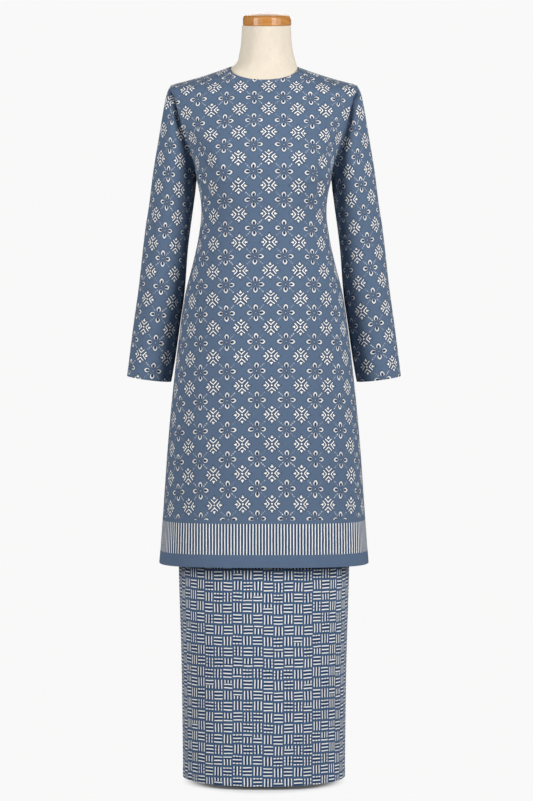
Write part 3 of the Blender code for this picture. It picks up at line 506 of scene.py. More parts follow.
def seam_dip(distance):
    """How far the cloth sinks towards a seam that is this far away."""
    return -SEAM_DIP * bell(distance, SEAM_DIP_WIDTH)


# ---------------------------------------------------------------- shells

SHARP_CLOTH = math.radians(55)           # edges sharper than this aren't smoothed


def add_object(name, data):
    made = bpy.data.objects.new(name, data)
    bpy.context.scene.collection.objects.link(made)
    return made


def grid_faces(grids, wrap):
    """Quads of a closed shell as rows of four, and 1 for each that lies on its inside.

    grids are the numbers of the outer and inner points.
    """
    def quads(low_left, low_right, high_right, high_left):
        return np.stack([low_left, low_right, high_right, high_left], axis=-1).reshape(-1, 4)

    out, back = grids
    faces = [quads(out[:-1, :-1], out[:-1, 1:], out[1:, 1:], out[1:, :-1]),
             quads(back[:-1, 1:], back[:-1, :-1], back[1:, :-1], back[1:, 1:]),
             quads(back[0, :-1], back[0, 1:], out[0, 1:], out[0, :-1]),
             quads(out[-1, :-1], out[-1, 1:], back[-1, 1:], back[-1, :-1])]
    if not wrap:
        faces += [quads(back[:-1, 0], out[:-1, 0], out[1:, 0], back[1:, 0]),
                  quads(out[:-1, -1], back[:-1, -1], back[1:, -1], out[1:, -1])]
    inside = np.concatenate([np.full(len(part), int(k == 1)) for k, part in enumerate(faces)])
    return np.concatenate(faces), inside


def number_grids(rows, columns, closed):
    """Numbers for the outer and inner points; closed ones repeat their first column."""
    out = np.arange(rows * columns).reshape(rows, columns)
    if closed:
        out = close_ring(out)
    return out, out + rows * columns


def shell_object(name, outer, normals, prints, cloths, finishes, wrap=False):
    """A thin closed shell over a grid, with its print and its cloth coordinates as UV maps.

    finishes are the materials of the outside and of the inside. Where wrap is true, the
    coordinates have one column more than the points, for the seam.
    """
    inner = outer - normals * SHELL
    points = np.concatenate([outer.reshape(-1, 3), inner.reshape(-1, 3)])
    faces, inside = grid_faces(number_grids(*outer.shape[:2], wrap), wrap)
    corners, _ = grid_faces(number_grids(*prints.shape[:2], False), wrap)
    data = bpy.data.meshes.new(name)
    data.from_pydata(points.tolist(), [], faces.tolist())
    for finish in finishes:
        data.materials.append(finish)
    data.polygons.foreach_set("material_index", inside.astype(np.int32))
    for label, values in (("print", prints), ("cloth", cloths)):
        layer = data.uv_layers.new(name=label)
        flat = np.concatenate([values.reshape(-1, 2)] * 2)
        layer.data.foreach_set("uv", flat[corners.reshape(-1)].astype(np.float32).ravel())
    data.shade_smooth()
    data.set_sharp_from_angle(angle=SHARP_CLOTH)
    return add_object(name, data)


# ---------------------------------------------------------------- shader sums


class Value:
    """A number that a shader works out at each point of a surface, with the usual signs."""

    def __init__(self, tree, socket):
        self.tree, self.socket = tree, socket

    def math(self, kind, *others):
        node = self.tree.nodes.new("ShaderNodeMath")
        node.operation = kind
        for place, given in zip(node.inputs, (self, *others)):
            feed(self.tree, place, given)
        return Value(self.tree, node.outputs[0])

    __add__ = partialmethod(math, "ADD")
    __sub__ = partialmethod(math, "SUBTRACT")
    __mul__ = partialmethod(math, "MULTIPLY")
    __truediv__ = partialmethod(math, "DIVIDE")
    __neg__ = partialmethod(math, "MULTIPLY", -1.0)
    __abs__ = partialmethod(math, "ABSOLUTE")
    least = partialmethod(math, "MINIMUM")
    most = partialmethod(math, "MAXIMUM")
    floor = partialmethod(math, "FLOOR")
    over = partialmethod(math, "GREATER_THAN")      # 1 where it is over the other, else 0

    def soft_step(self, low, high):
        """0 up to low, 1 from high on and smooth between them."""
        node = self.tree.nodes.new("ShaderNodeMapRange")
        node.interpolation_type = "SMOOTHSTEP"
        feed(self.tree, node.inputs["Value"], self)
        node.inputs["From Min"].default_value = low
        node.inputs["From Max"].default_value = high
        return Value(self.tree, node.outputs["Result"])

    def soft_drop(self, low, high):
        """1 up to low, 0 from high on and smooth between them."""
        return -self.soft_step(low, high) + 1.0

    def above(self, level, softness):
        """0 below a level and 1 above it, with a soft edge this wide to either side."""
        return self.soft_step(level - softness, level + softness)

    def spread(self, low, high):
        """A value from 0 to 1 spread over a range."""
        return self * (high - low) + low

    def centred(self, size):
        """A value from 0 to 1 turned into one round 0 of some size."""
        return (self - 0.5) * size


def feed(tree, place, given):
    """Sets a socket to a number or links a value to it."""
    if isinstance(given, Value):
        tree.links.new(given.socket, place)
    else:
        place.default_value = given


def hypotenuse(x, y):
    return (x * x + y * y).math("SQRT")


def between(mask, first, second):
    """first where the mask is 0 and second where it is 1."""
    return first + (second - first) * mask


def separate(tree, socket):
    parts = tree.nodes.new("ShaderNodeSeparateXYZ")
    tree.links.new(socket, parts.inputs[0])
    return [Value(tree, part) for part in parts.outputs]


def uv_values(tree, name):
    """A surface point's place on a UV map."""
    node = tree.nodes.new("ShaderNodeUVMap")
    node.uv_map = name
    return separate(tree, node.outputs[0])[:2]


def object_values(tree):
    """A surface point's own place, in metres."""
    return separate(tree, tree.nodes.new("ShaderNodeTexCoord").outputs["Object"])


def vector(x, y, z=0.0):
    node = x.tree.nodes.new("ShaderNodeCombineXYZ")
    for place, given in zip(node.inputs, (x, y, z)):
        feed(x.tree, place, given)
    return node.outputs[0]


def noise(x, y, scale, detail=2.0, z=0.0):
    """Soft noise round 0.5, at some coordinates."""
    node = x.tree.nodes.new("ShaderNodeTexNoise")
    node.inputs["Scale"].default_value = scale
    node.inputs["Detail"].default_value = detail
    x.tree.links.new(vector(x, y, z), node.inputs["Vector"])
    return Value(x.tree, node.outputs[0])


def chance(x, y, z=0.0):
    """A fixed number from 0 to 1 for each whole x and y."""
    node = x.tree.nodes.new("ShaderNodeTexWhiteNoise")
    node.noise_dimensions = "3D"
    x.tree.links.new(vector(x, y, z), node.inputs["Vector"])
    return Value(x.tree, node.outputs["Value"])


def mix_colours(tree, factor, first, second):
    """A colour socket between two colours, each a tuple or a socket."""
    node = tree.nodes.new("ShaderNodeMix")
    node.data_type = "RGBA"
    feed(tree, node.inputs[0], factor)
    for place, given in ((node.inputs[6], first), (node.inputs[7], second)):
        if isinstance(given, tuple):
            place.default_value = (*given, 1.0)
        else:
            tree.links.new(given, place)
    return node.outputs[2]


def mix_shaders(tree, factor, first, second, output):
    """Feeds an output node from two shaders: the first where the factor is 0."""
    mix = tree.nodes.new("ShaderNodeMixShader")
    feed(tree, mix.inputs[0], factor)
    tree.links.new(first, mix.inputs[1])
    tree.links.new(second, mix.inputs[2])
    tree.links.new(mix.outputs[0], tree.nodes[output].inputs["Surface"])


def shade_colour(tree, colour, factor):
    """A colour socket made darker or lighter by a value near 1."""
    node = tree.nodes.new("ShaderNodeVectorMath")
    node.operation = "SCALE"
    tree.links.new(colour, node.inputs[0])
    feed(tree, node.inputs["Scale"], factor)
    return node.outputs[0]


def new_material(name, roughness, metallic=0.0, sheen=0.0, specular=0.5):
    made = bpy.data.materials.new(name)
    made.use_nodes = True
    shader = made.node_tree.nodes["Principled BSDF"]
    settings = {"Roughness": roughness, "Metallic": metallic, "Sheen Weight": sheen,
                "Specular IOR Level": specular}
    for socket, value in settings.items():
        shader.inputs[socket].default_value = value
    return made, made.node_tree, shader


def paint(tree, shader, colour, height, distance, strength):
    """Gives a finish its colour socket and its fine relief, whose full height is the distance."""
    tree.links.new(colour, shader.inputs["Base Color"])
    node = tree.nodes.new("ShaderNodeBump")
    node.inputs["Strength"].default_value = strength
    node.inputs["Distance"].default_value = distance
    feed(tree, node.inputs["Height"], height)
    tree.links.new(node.outputs[0], shader.inputs["Normal"])


# ---------------------------------------------------------------- prints

GROUND = (0.103, 0.157, 0.248)           # slate blue of the tunic, linear
GROUND_DEEP = (0.010, 0.030, 0.078)      # where the wax line's edge took more dye
HEM_BAND = (0.101, 0.155, 0.250)
IVORY = (0.985, 0.975, 0.950)
STRIPE_GAP = (0.034, 0.074, 0.154)
SKIRT_FRAME = (0.060, 0.122, 0.242)
SKIRT_DEEP = (0.016, 0.050, 0.142)
SKIRT_IVORY = (0.975, 0.990, 0.955)
WRONG_SIDE = (0.235, 0.290, 0.385)
LINEN = (0.880, 0.785, 0.645)

# The tunic's motifs, in millimetres.
MOTIF_WIDTH = 57.3                       # from one diamond to the next
MOTIF_HEIGHT = 56.0
DOT = 1.8
FLOWER_DOT = 1.26
STROKE = 0.96
SIDE_CHEVRON = ((5.3, 0.0), (11.4, 6.8))     # apex and arm's end, beside the centre
TOP_CHEVRON = ((0.0, 4.6), (6.7, 10.6))
SIDE_SPADE = (10.4, 17.2, 2.9)               # start, tip and half width
TOP_SPADE = (11.0, 17.4, 3.5)
SPADE_TAPER = 1.5                        # above 1 its sides are hollow
SPADE_TIP = 0.6                          # some width that it keeps until near its tip
SPADE_NECK = 5.0                         # its blunt end takes up a fifth of its length
PETAL_SIDE = (11.9, 5.5, 4.3)                # centre, half length and half width
PETAL_TOP = (10.7, 5.5, 4.4)
PETAL_POINT = 1.65                       # 2 is an ellipse, less comes to a point
PIT_SHIFT = 1.3
PIT_SHARE = (0.70, 0.56)                 # a petal's pit by its own length and width
DIAGONAL = 0.7071
DASH_START = 9.0
DASH_END = 22.5
DASH_PERIOD = 4.5
DASH_HALF_LENGTH = 0.26                  # by its period
DASH_HALF_WIDTH = 0.72
WANDER = 2.24                            # how far the hand-drawn lines wander
WANDER_SCALE = 7.0
HALO = 2.6                               # how far the dyed edge spreads round a motif

# Where the wax's soft edges begin and end, and the least and the most of what chance decides.
LINE_EDGE = (-0.25, 0.35)
DASH_EDGE = (-0.3, 0.5)
PIT_EDGE = (0.70, 1.15)
DIAGONAL_BOLDNESS = (0.15, 1.00)
DASH_BOLDNESS = (0.20, 1.05)
PETAL_WEAKNESS = (0.04, 0.26)
PETAL_FOOT = (5.0, 9.5)                  # nearer to the centre than this a petal is faint,
PETAL_FOOT_WEAKNESS = 0.45               # by this much
NEARER_STAR = (-3.0, 0.0)                # where a star is about as near, petals stay whole
STAR_HALO, FLOWER_HALO, PIT_HALO = 0.94, 0.70, 0.9      # how dark the dyed edges are
TUNIC_WORN = (26.0, (0.30, 0.52), 0.78)  # grain, edge, and what is left of the wax line
SKIRT_WORN = (11.0, (0.36, 0.56), 0.86)

# The border, in metres of cloth.
BORDER_FOOT = 0.0248                     # the plain band at the hem, then the stripes
BORDER_TOP = 0.0842
BORDER_GAP_TOP = 0.0914                  # no motif is printed below this
BORDER_EDGE = 0.0003
BAND_EDGE = 0.0004
BORDER_FRAY = 0.0010
STRIPE = 0.0060
STRIPE_EDGE = (0.146, 0.188)
STRIPE_WIDENING = 1.2                    # per square metre: the stripes are wider at the sides
STRIPE_WANDER = 0.0007

# The skirt's basket weave, in millimetres, and in shares of a cell.
CELL_WIDTH = 19.7
CELL_HEIGHT = 21.1
BAR_PITCH = 6.35
BAR_HALF_WIDTH = 1.07
BAR_HALF_LENGTH = 8.5
BAR_EDGE = (-0.35, 0.45)
LYING_SQUEEZE = 0.94                     # level bars are drawn closer than upright ones
SLIP_ROW = -3.5                          # below this row the cells take turns the other way
CELL_SHIFT = (0.10, 0.20)                # how much whole rows and whole columns are off,
CELL_WANDER = 0.13                       # and each place besides
CELL_WANDER_SCALE = 0.9
BROKEN_LUCK = 0.64                       # above this a cell's bars are broken,
CROSSED_LUCK = 0.86                      # and above this some of them lie across instead,
CROSSED_FROM = 2.6                       # from this far past the cell's middle
BREAK_PLACE = 3.1                        # how far along a bar its breaks are
BREAK_HALF_WIDTH = 0.95
BREAK_SPREAD = 3.0                       # bars this near to a place set by chance stay whole
UNBROKEN = 9.0                           # a depth that leaves a line as it is
BLOCK_SHAPE = 0.93                       # the block of darker ground by its height
BLOCK_EDGE = (7.6, 9.4)                  # and where it ends


def segment(x, y, start, end):
    """Distance from a straight line between two points."""
    run_x, run_y = end[0] - start[0], end[1] - start[1]
    from_x, from_y = x - start[0], y - start[1]
    along = ((from_x * run_x + from_y * run_y) / (run_x**2 + run_y**2)).most(0.0).least(1.0)
    return hypotenuse(from_x - along * run_x, from_y - along * run_y)


def spade(along, across, size):
    """A filled tip that points outwards: blunt near the centre, thin at its far end."""
    start, tip, half_width = size
    t = ((along - start) / (tip - start)).most(0.0).least(1.0)
    left = -t + 1.0
    width = left.math("POWER", SPADE_TAPER) * half_width + left * SPADE_TIP
    width = width * (t * SPADE_NECK).math("SQRT").least(1.0)
    return (across - width).most(along - tip).most(-along + start)


def rounded(x, y, power):
    """1 on the line of a rounded shape whose half sizes are 1, less inside and more outside."""
    return (abs(x).math("POWER", power) + abs(y).math("POWER", power)).math("POWER", 1 / power)


def petal(along, across, size):
    """A pointed ring: how far outside its line, and where its dark pit is."""
    middle, half_length, half_width = size
    off = along - middle
    pit_length, pit_width = half_length * PIT_SHARE[0], half_width * PIT_SHARE[1]
    outer = rounded(off / half_length, across / half_width, PETAL_POINT)
    inner = hypotenuse((off + PIT_SHIFT) / pit_length, across / pit_width)
    return ((outer - 1.0) * half_width).most((-inner + 1.0) * pit_width), inner


def diamond_star(x, y):
    """Distance outside the strokes of a diamond star whose centre is at 0, 0."""
    drawn = hypotenuse(x, y) - DOT
    drawn = drawn.least(segment(x, y, *SIDE_CHEVRON) - STROKE)
    drawn = drawn.least(segment(x, y, *TOP_CHEVRON) - STROKE)
    drawn = drawn.least(spade(x, y, SIDE_SPADE))
    return drawn.least(spade(y, x, TOP_SPADE))


def small_flower(x, y):
    """Distance outside the strokes of a four-petal flower, and the depth of its pits."""
    side, side_pit = petal(x, y, PETAL_SIDE)
    top, top_pit = petal(y, x, PETAL_TOP)
    drawn = (hypotenuse(x, y) - FLOWER_DOT).least(side).least(top)
    return drawn, side_pit.least(top_pit).soft_drop(*PIT_EDGE)


def diagonal_dashes(x, y):
    """Distance outside the short strokes along a flower's diagonals, and their numbers."""
    along, across = (x + y) * DIAGONAL, abs(x - y) * DIAGONAL
    count = (along - DASH_START) / DASH_PERIOD
    number = count.floor()
    phase = abs(count - number - 0.5) * DASH_PERIOD
    ends = (along - DASH_END).most(-along + DASH_START)
    along = phase - DASH_PERIOD * DASH_HALF_LENGTH
    return (across - DASH_HALF_WIDTH).most(along).most(ends), number


def left_of_wax(x, y, worn):
    """How much of the wax line the wear has left."""
    grain, edge, least = worn
    return noise(x, y, grain).soft_step(*edge).spread(least, 1.0)


def petal_weakness(off_a, off_b, seed, star_nearer):
    """How much of a flower's strokes is missing, by chance and most of all at their feet."""
    foot = hypotenuse(off_a, off_b).soft_drop(*PETAL_FOOT)
    missing = chance(*seed).spread(*PETAL_WEAKNESS) + foot * PETAL_FOOT_WEAKNESS
    return (-star_nearer + 1.0) * missing


def tunic_print(tree, a, b, up):
    """The tunic's print at cell coordinates a and b, this far up from the hem."""
    scatter_x, scatter_y = noise(a, b, WANDER_SCALE, 3.0), noise(a, b, WANDER_SCALE, 3.0, 4.7)
    a = a + scatter_x.centred(WANDER / MOTIF_WIDTH)
    b = b + scatter_y.centred(WANDER / MOTIF_HEIGHT)
    cell_a, cell_b = (a + 0.5).floor(), (b + 0.5).floor()
    star = diamond_star(abs(a - cell_a) * MOTIF_WIDTH, abs(b - cell_b) * MOTIF_HEIGHT)
    cell_a, cell_b = a.floor(), b.floor()
    off_a, off_b = (a - cell_a - 0.5) * MOTIF_WIDTH, (b - cell_b - 0.5) * MOTIF_HEIGHT
    flower, pits = small_flower(abs(off_a), abs(off_b))
    dashes, number = diagonal_dashes(abs(off_a), abs(off_b))

    # Whole numbers added to the corner's own keep one chance apart from another.
    corner = off_a.over(0.0) + off_b.over(0.0) * 2.0
    boldness = chance(cell_a, cell_b, corner).spread(*DIAGONAL_BOLDNESS)
    own = chance(cell_a, cell_b, corner + number * 5.0 + 9.0)
    boldness = boldness * own.spread(*DASH_BOLDNESS)
    petal_number = (abs(off_a) - abs(off_b)).over(0.0) * 4.0 + corner
    weak = petal_weakness(off_a, off_b, (cell_a, cell_b, petal_number + 20.0),
                          (flower - star).soft_step(*NEARER_STAR))

    line = star.least(flower).soft_drop(*LINE_EDGE) * (-weak + 1.0)
    line = (line * left_of_wax(a, b, TUNIC_WORN)).most(dashes.soft_drop(*DASH_EDGE) * boldness)
    halo = (star.soft_drop(0.0, HALO) * STAR_HALO).most(flower.soft_drop(0.0, HALO) * FLOWER_HALO)
    halo = halo.most(pits * PIT_HALO)
    clear = up.above(BORDER_GAP_TOP, BAND_EDGE)
    ground = mix_colours(tree, halo * clear, GROUND, GROUND_DEEP)
    return mix_colours(tree, line * clear, ground, IVORY)


def border(tree, colour, along, up):
    """The striped border and the plain band at the tunic's hem, over the print's colour."""
    widened = along * (-(along * along) * STRIPE_WIDENING + 1.0)
    wandering = widened + noise(along, up, 60.0).centred(STRIPE_WANDER)
    stripe = abs((wandering / STRIPE).math("FRACT") - 0.5)
    stripes = mix_colours(tree, stripe.soft_drop(*STRIPE_EDGE), STRIPE_GAP, IVORY)
    frayed = up + noise(along, up, 90.0).centred(BORDER_FRAY)
    within = frayed.above(BORDER_FOOT, BORDER_EDGE)
    within = within * (-frayed.above(BORDER_TOP, BORDER_EDGE) + 1.0)
    colour = mix_colours(tree, within, colour, stripes)
    return mix_colours(tree, up.soft_drop(BORDER_FOOT - BAND_EDGE, BORDER_FOOT), colour, HEM_BAND)


def bars(across, along):
    """Distance outside three bars that lie side by side."""
    nearest = abs(across).least(abs(abs(across) - BAR_PITCH))
    return (nearest - BAR_HALF_WIDTH).most(abs(along) - BAR_HALF_LENGTH)


def skirt_print(tree, a, b):
    """The skirt's basket weave of bars, with the odd cell drawn otherwise."""
    row_off, column_off = chance(b.floor(), 4.0), chance(a.floor(), 7.0)
    off_a, off_b = (noise(a, b, CELL_WANDER_SCALE, 2.0, seed) for seed in (0.0, 3.1))
    a = a + row_off.centred(CELL_SHIFT[0]) + off_a.centred(CELL_WANDER)
    b = b + column_off.centred(CELL_SHIFT[1]) + off_b.centred(CELL_WANDER)
    cell_a, cell_b = a.floor(), b.floor()
    x, y = (a - cell_a - 0.5) * CELL_WIDTH, (b - cell_b - 0.5) * CELL_HEIGHT
    luck, turn = chance(cell_a, cell_b, 1.0), chance(cell_a, cell_b, 2.0)

    slip = -cell_b.over(SLIP_ROW) + 1.0
    level = ((cell_a + cell_b + slip) * 0.5).math("FRACT").over(0.25)
    part = y * turn.over(0.5).spread(-1.0, 1.0)
    crossed = luck.over(CROSSED_LUCK) * part.over(CROSSED_FROM)
    level = level + crossed - level * crossed * 2.0
    drawn = between(level, bars(x, y), bars(y * LYING_SQUEEZE, x))

    off_middle = abs(between(level, x, y) + turn.spread(-BREAK_SPREAD, BREAK_SPREAD))
    broken = luck.over(BROKEN_LUCK) * (-luck.over(CROSSED_LUCK) + 1.0)
    broken = broken * off_middle.over(BREAK_SPREAD)
    gap = abs(abs(between(level, y, x)) - BREAK_PLACE)
    drawn = drawn.most((-gap + BREAK_HALF_WIDTH) * broken - (-broken + 1.0) * UNBROKEN)
    block = abs(x).most(abs(y) * BLOCK_SHAPE)
    ground = mix_colours(tree, block.soft_drop(*BLOCK_EDGE), SKIRT_FRAME, SKIRT_DEEP)
    line = drawn.soft_drop(*BAR_EDGE) * left_of_wax(a, b, SKIRT_WORN)
    return mix_colours(tree, line, ground, SKIRT_IVORY)


# ---------------------------------------------------------------- cloth and other finishes

# A cloth: its roughness, sheen and shine, how uneven its threads are and how far apart.
ClothLook = namedtuple("ClothLook", "roughness sheen specular uneven thread")
PRINTED = ClothLook(0.78, 0.08, 0.18, 0.16, 0.00042)
PLAIN = ClothLook(0.85, 0.10, 0.25, 0.20, 0.00042)
FORM_LINEN = ClothLook(0.90, 0.10, 0.25, 0.25, 0.0007)
WEAVE_RELIEF = (0.00012, 0.5)            # height and strength
SLUB_LENGTH, SLUB_WIDTH = 60.0, 1600.0   # how fast the threads' unevenness changes, per metre
SLUB_RELIEF = 0.8
PLAIN_CLOUD = (30.0, 3.0)                # plain cloth is darker in places: their scale and detail,
PLAIN_SHADE, PLAIN_SHADE_SHARE = 0.82, 0.4       # how dark they are and how much of it shows

# Clouds in the dye: their scale, detail and seed, and how much darker and lighter they make it.
Cloud = namedtuple("Cloud", "scale detail seed depth")
CLOUDS = (Cloud(9.0, 4.0, 0.0, 0.14), Cloud(55.0, 3.0, 3.0, 0.10))


def weave_height(x, y, thread):
    """Plain weave: warp and weft pass over each other in turn."""
    turn = math.pi / thread
    warp = abs((x * turn).math("SINE"))
    weft = abs((y * turn).math("SINE"))
    over = (x * turn * 0.5).math("SINE") * (y * turn * 0.5).math("SINE")
    return between(over.over(0.0), warp, weft)


def slubs(x, y):
    """Uneven threads, darker and lighter, in both directions of the cloth."""
    return (noise(x * SLUB_LENGTH, y * SLUB_WIDTH, 1.0)
            + noise(x * SLUB_WIDTH, y * SLUB_LENGTH, 1.0, 2.0, 9.0) - 1.0)


def new_cloth(name, look):
    return new_material(name, look.roughness, sheen=look.sheen, specular=look.specular)


def finish_cloth(tree, shader, look, colour, x, y):
    """Adds the dye's clouds and the weave to a cloth's colour."""
    large, small = (noise(x, y, *cloud[:3]).centred(cloud.depth) for cloud in CLOUDS)
    toned = shade_colour(tree, colour, slubs(x, y) * look.uneven + (large + small) + 1.0)
    height = weave_height(x, y, look.thread) + slubs(x, y) * SLUB_RELIEF
    paint(tree, shader, toned, height, *WEAVE_RELIEF)


def printed_cloth(name, bordered):
    """Cotton with the tunic's print and its border, or else with the skirt's print."""
    made, tree, shader = new_cloth(name, PRINTED)
    a, b = uv_values(tree, "print")
    x, up = uv_values(tree, "cloth")
    if bordered:
        colour = border(tree, tunic_print(tree, a, b, up), x, up)
    else:
        colour = skirt_print(tree, a, b)
    finish_cloth(tree, shader, PRINTED, colour, x, up)
    return made


def plain_cloth(name, colour, look=PLAIN):
    """Unprinted cloth with its weave, by the cloth's own coordinates."""
    made, tree, shader = new_cloth(name, look)
    x, up = uv_values(tree, "cloth")
    shaded = tuple(part * PLAIN_SHADE for part in colour)
    flat = mix_colours(tree, noise(x, up, *PLAIN_CLOUD) * PLAIN_SHADE_SHARE, colour, shaded)
    finish_cloth(tree, shader, look, flat, x, up)
    return made


# A hard finish: its roughness and colour, the colour of its marks and how strong they are, the
# height and strength of its relief, and where in its noise the marks begin and are full.
HardLook = namedtuple("HardLook", "roughness colour mark share relief edge", defaults=(None,))
BEECH = HardLook(0.22, (0.640, 0.290, 0.078), (0.540, 0.225, 0.056), 1.0,
                 (0.00004, 0.2), (0.36, 0.66))
POWDER_COAT = HardLook(0.42, (0.62, 0.62, 0.60), (0.47, 0.47, 0.46), 0.5,
                       (0.00015, 0.35), (0.58, 0.74))
LACQUER = HardLook(0.32, (0.095, 0.150, 0.240), (0.42, 0.43, 0.44), 0.6,
                   (0.00005, 0.4), (0.60, 0.72))
# The twill's marks are painted shade, darker along each of its ribs.
TWILL_WITH_RIB_SHADE = HardLook(0.82, (0.085, 0.130, 0.215), (0.060, 0.095, 0.165), 0.35, (0.00015, 0.6))
LACQUER_METALLIC = 0.55
TWILL_RIB = 0.0009
WOOD_SIDE_TOP = 1.4880
WOOD_EDGE = 0.004
WOOD_GLOSS = (0.20, 0.60)                # roughness at the side and on top
GRAIN = (14.0, 90.0, 260.0)              # how fast it changes along x, y and z, per metre
PORES = (60.0, 500.0, 1400.0)
PORE_EDGE, PORE_SHARE, PORE_COLOUR = (0.52, 0.70), 0.18, (0.40, 0.16, 0.05)


def wood_noise(place, stretch, detail, seed=0.0):
    x, y, z = (value * scale for value, scale in zip(place, stretch))
    return noise(x, z + y, 1.0, detail, seed)


def wood_material():
    """Varnished beech, its grain running across the cap from side to side, duller on top."""
    made, tree, shader = new_material("varnished_wood", BEECH.roughness)
    place = object_values(tree)
    on_top = place[2].soft_step(WOOD_SIDE_TOP - WOOD_EDGE, WOOD_SIDE_TOP)
    feed(tree, shader.inputs["Roughness"], on_top.spread(*WOOD_GLOSS))
    grain, pores = wood_noise(place, GRAIN, 4.0), wood_noise(place, PORES, 3.0, 2.0)
    colour = mix_colours(tree, grain.soft_step(*BEECH.edge), BEECH.colour, BEECH.mark)
    colour = mix_colours(tree, pores.soft_step(*PORE_EDGE) * PORE_SHARE, colour, PORE_COLOUR)
    paint(tree, shader, colour, pores, *BEECH.relief)
    return made


def steel_material():
    """Light-grey powder coat with its fine orange peel and a few scuffs."""
    made, tree, shader = new_material("powder_coat", POWDER_COAT.roughness)
    x, y, z = object_values(tree)
    peel = noise(x + z * 0.7, y - z * 0.5, 900.0)
    scuffs = noise(x * 3.0, y + z, 45.0, 5.0).soft_step(*POWDER_COAT.edge) * POWDER_COAT.share
    colour = mix_colours(tree, scuffs, POWDER_COAT.colour, POWDER_COAT.mark)
    paint(tree, shader, colour, peel, *POWDER_COAT.relief)
    return made


def zip_metal_material():
    """Lacquer in the cloth's blue, worn through to the metal here and there."""
    made, tree, shader = new_material("zip_lacquer", LACQUER.roughness, metallic=LACQUER_METALLIC)
    x, y, z = object_values(tree)
    wear = noise(x + y, z, 700.0, 4.0).soft_step(*LACQUER.edge) * LACQUER.share
    colour = mix_colours(tree, wear, LACQUER.colour, LACQUER.mark)
    paint(tree, shader, colour, wear, *LACQUER.relief)
    return made


def zip_tape_material():
    """Twill tape, its ribs on a slant, painted darker along each rib as shade."""
    made, tree, shader = new_material("zip_tape_twill", TWILL_WITH_RIB_SHADE.roughness, sheen=0.1, specular=0.25)
    x, y, z = object_values(tree)
    ribs = abs(((x + z) * (math.pi / TWILL_RIB)).math("SINE"))
    # Painted shade: the tape's colour darkens along each rib.
    colour = mix_colours(tree, ribs * TWILL_WITH_RIB_SHADE.share, TWILL_WITH_RIB_SHADE.colour, TWILL_WITH_RIB_SHADE.mark)
    paint(tree, shader, colour, ribs, *TWILL_WITH_RIB_SHADE.relief)
    return made


# ---------------------------------------------------------------- where the prints lie

# A level line of diamonds on the front: its height on the centre line, its number down from
# the shoulders, how far apart they are and how far they are shifted to the wearer's left.
PrintRow = namedtuple("PrintRow", "height row pitch shift")
PRINT_ROWS = (
    PrintRow(0.3840, 18, 0.0560, 0.0155),
    PrintRow(0.5550, 15, 0.0560, 0.0155),
    PrintRow(0.6138, 14, 0.0572, 0.0155),
    PrintRow(0.6701, 13, 0.0572, 0.0154),
    PrintRow(0.7268, 12, 0.0572, 0.0152),
    PrintRow(0.7825, 11, 0.0572, 0.0149),
    PrintRow(0.8385, 10, 0.0572, 0.0142),
    PrintRow(0.8945, 9, 0.0572, 0.0135),
    PrintRow(0.9494, 8, 0.0581, 0.0130),
    PrintRow(1.0026, 7, 0.0581, 0.0120),
    PrintRow(1.0570, 6, 0.0581, 0.0106),
    PrintRow(1.1117, 5, 0.0581, 0.0093),
    PrintRow(1.1661, 4, 0.0581, 0.0093),
    PrintRow(1.2210, 3, 0.0590, 0.0093),
    PrintRow(1.2679, 2, 0.0579, 0.0093),
    PrintRow(1.3098, 1, 0.0564, 0.0093),
    PrintRow(1.3518, 0, 0.0546, 0.0093),
)
YOKE_LEVEL = 1.2679          # above this the rows follow the cloth over the shoulders
YOKE_LEVEL_ROW = -2
YOKE_ROW_PITCH = 0.049
LENGTH_STEPS = 24
DROOP_LEVELS = (1.00, 1.11)
DROOP = (0.32, 0.60)         # the rows rise towards the centre by this times the distance squared
TILT = (0.0117, 0.0030)

# In front the cloth turns in towards the armholes, so its print stands closer there: by how many
# cells at the seam, on the wearer's right and left, and how far the tightening reaches.
PrintTuck = namedtuple("PrintTuck", "height right left")
PRINT_TUCKS = (
    PrintTuck(1.120, 0.00, 0.00),
    PrintTuck(1.185, 0.52, 0.62),
    PrintTuck(1.225, 0.60, 0.78),
    PrintTuck(1.270, 0.46, 0.62),
    PrintTuck(1.325, 0.10, 0.14),
    PrintTuck(1.354, 0.00, 0.00),
)
PRINT_TUCK_REACH = 0.045

# The wearer's left and right sleeve: where the rows start above the cuff and how far apart
# they are, and how far outwards they are shifted at some heights.
SleevePrint = namedtuple("SleevePrint", "first_row row_pitch heights shifts")
SLEEVE_PITCH = 0.0555
SLEEVE_PRINTS = {
    1: SleevePrint(0.0285, 0.0543,
                   (0.054, 0.108, 0.162, 0.218, 0.273, 0.330, 0.382, 0.436, 0.490),
                   (0.0078, 0.0104, 0.0125, 0.0133, 0.0135, 0.0147, 0.0173, 0.0184, 0.0240)),
    -1: SleevePrint(0.0466, 0.05466,
                    (0.020, 0.077, 0.131, 0.185, 0.239, 0.296, 0.350, 0.404, 0.456, 0.512),
                    (-0.0050, -0.0023, 0.0, 0.0009, 0.0034,
                     0.0060, 0.0107, 0.0168, 0.0223, 0.0310)),
}
CUFF_CENTRE = (0.2226, 0.010, 0.784)
SLEEVE_SQUASH = 0.88         # a sleeve's width by its depth, for lengths round it
SLEEVE_CLOTH_UP = 1.0        # keeps the hem's border off the sleeves
TURN_STEPS = 2001            # for measuring lengths round a sleeve

SKIRT_PRINT_ORIGIN = (0.0082, 0.2883)    # centre of a cell with upright bars

# A panel of the tunic: whether it is the front, how many cells its print is shifted, its
# creases, and its edge columns along the armholes and the zip.
PanelPlan = namedtuple("PanelPlan", "front shift creases armholes zip")
PANEL_PLANS = {
    "front": PanelPlan(True, 0.0, FRONT_CREASES, (0, -1), None),
    "back_left": PanelPlan(False, 0.27, BACK_CREASES, (0,), -1),
    "back_right": PanelPlan(False, -0.12, BACK_CREASES, (-1,), 0),
}


def between_rows(table, name, at):
    """The values of a named column at some places, on straight lines through the rows."""
    return np.interp(at, [row[0] for row in table], [getattr(row, name) for row in table])


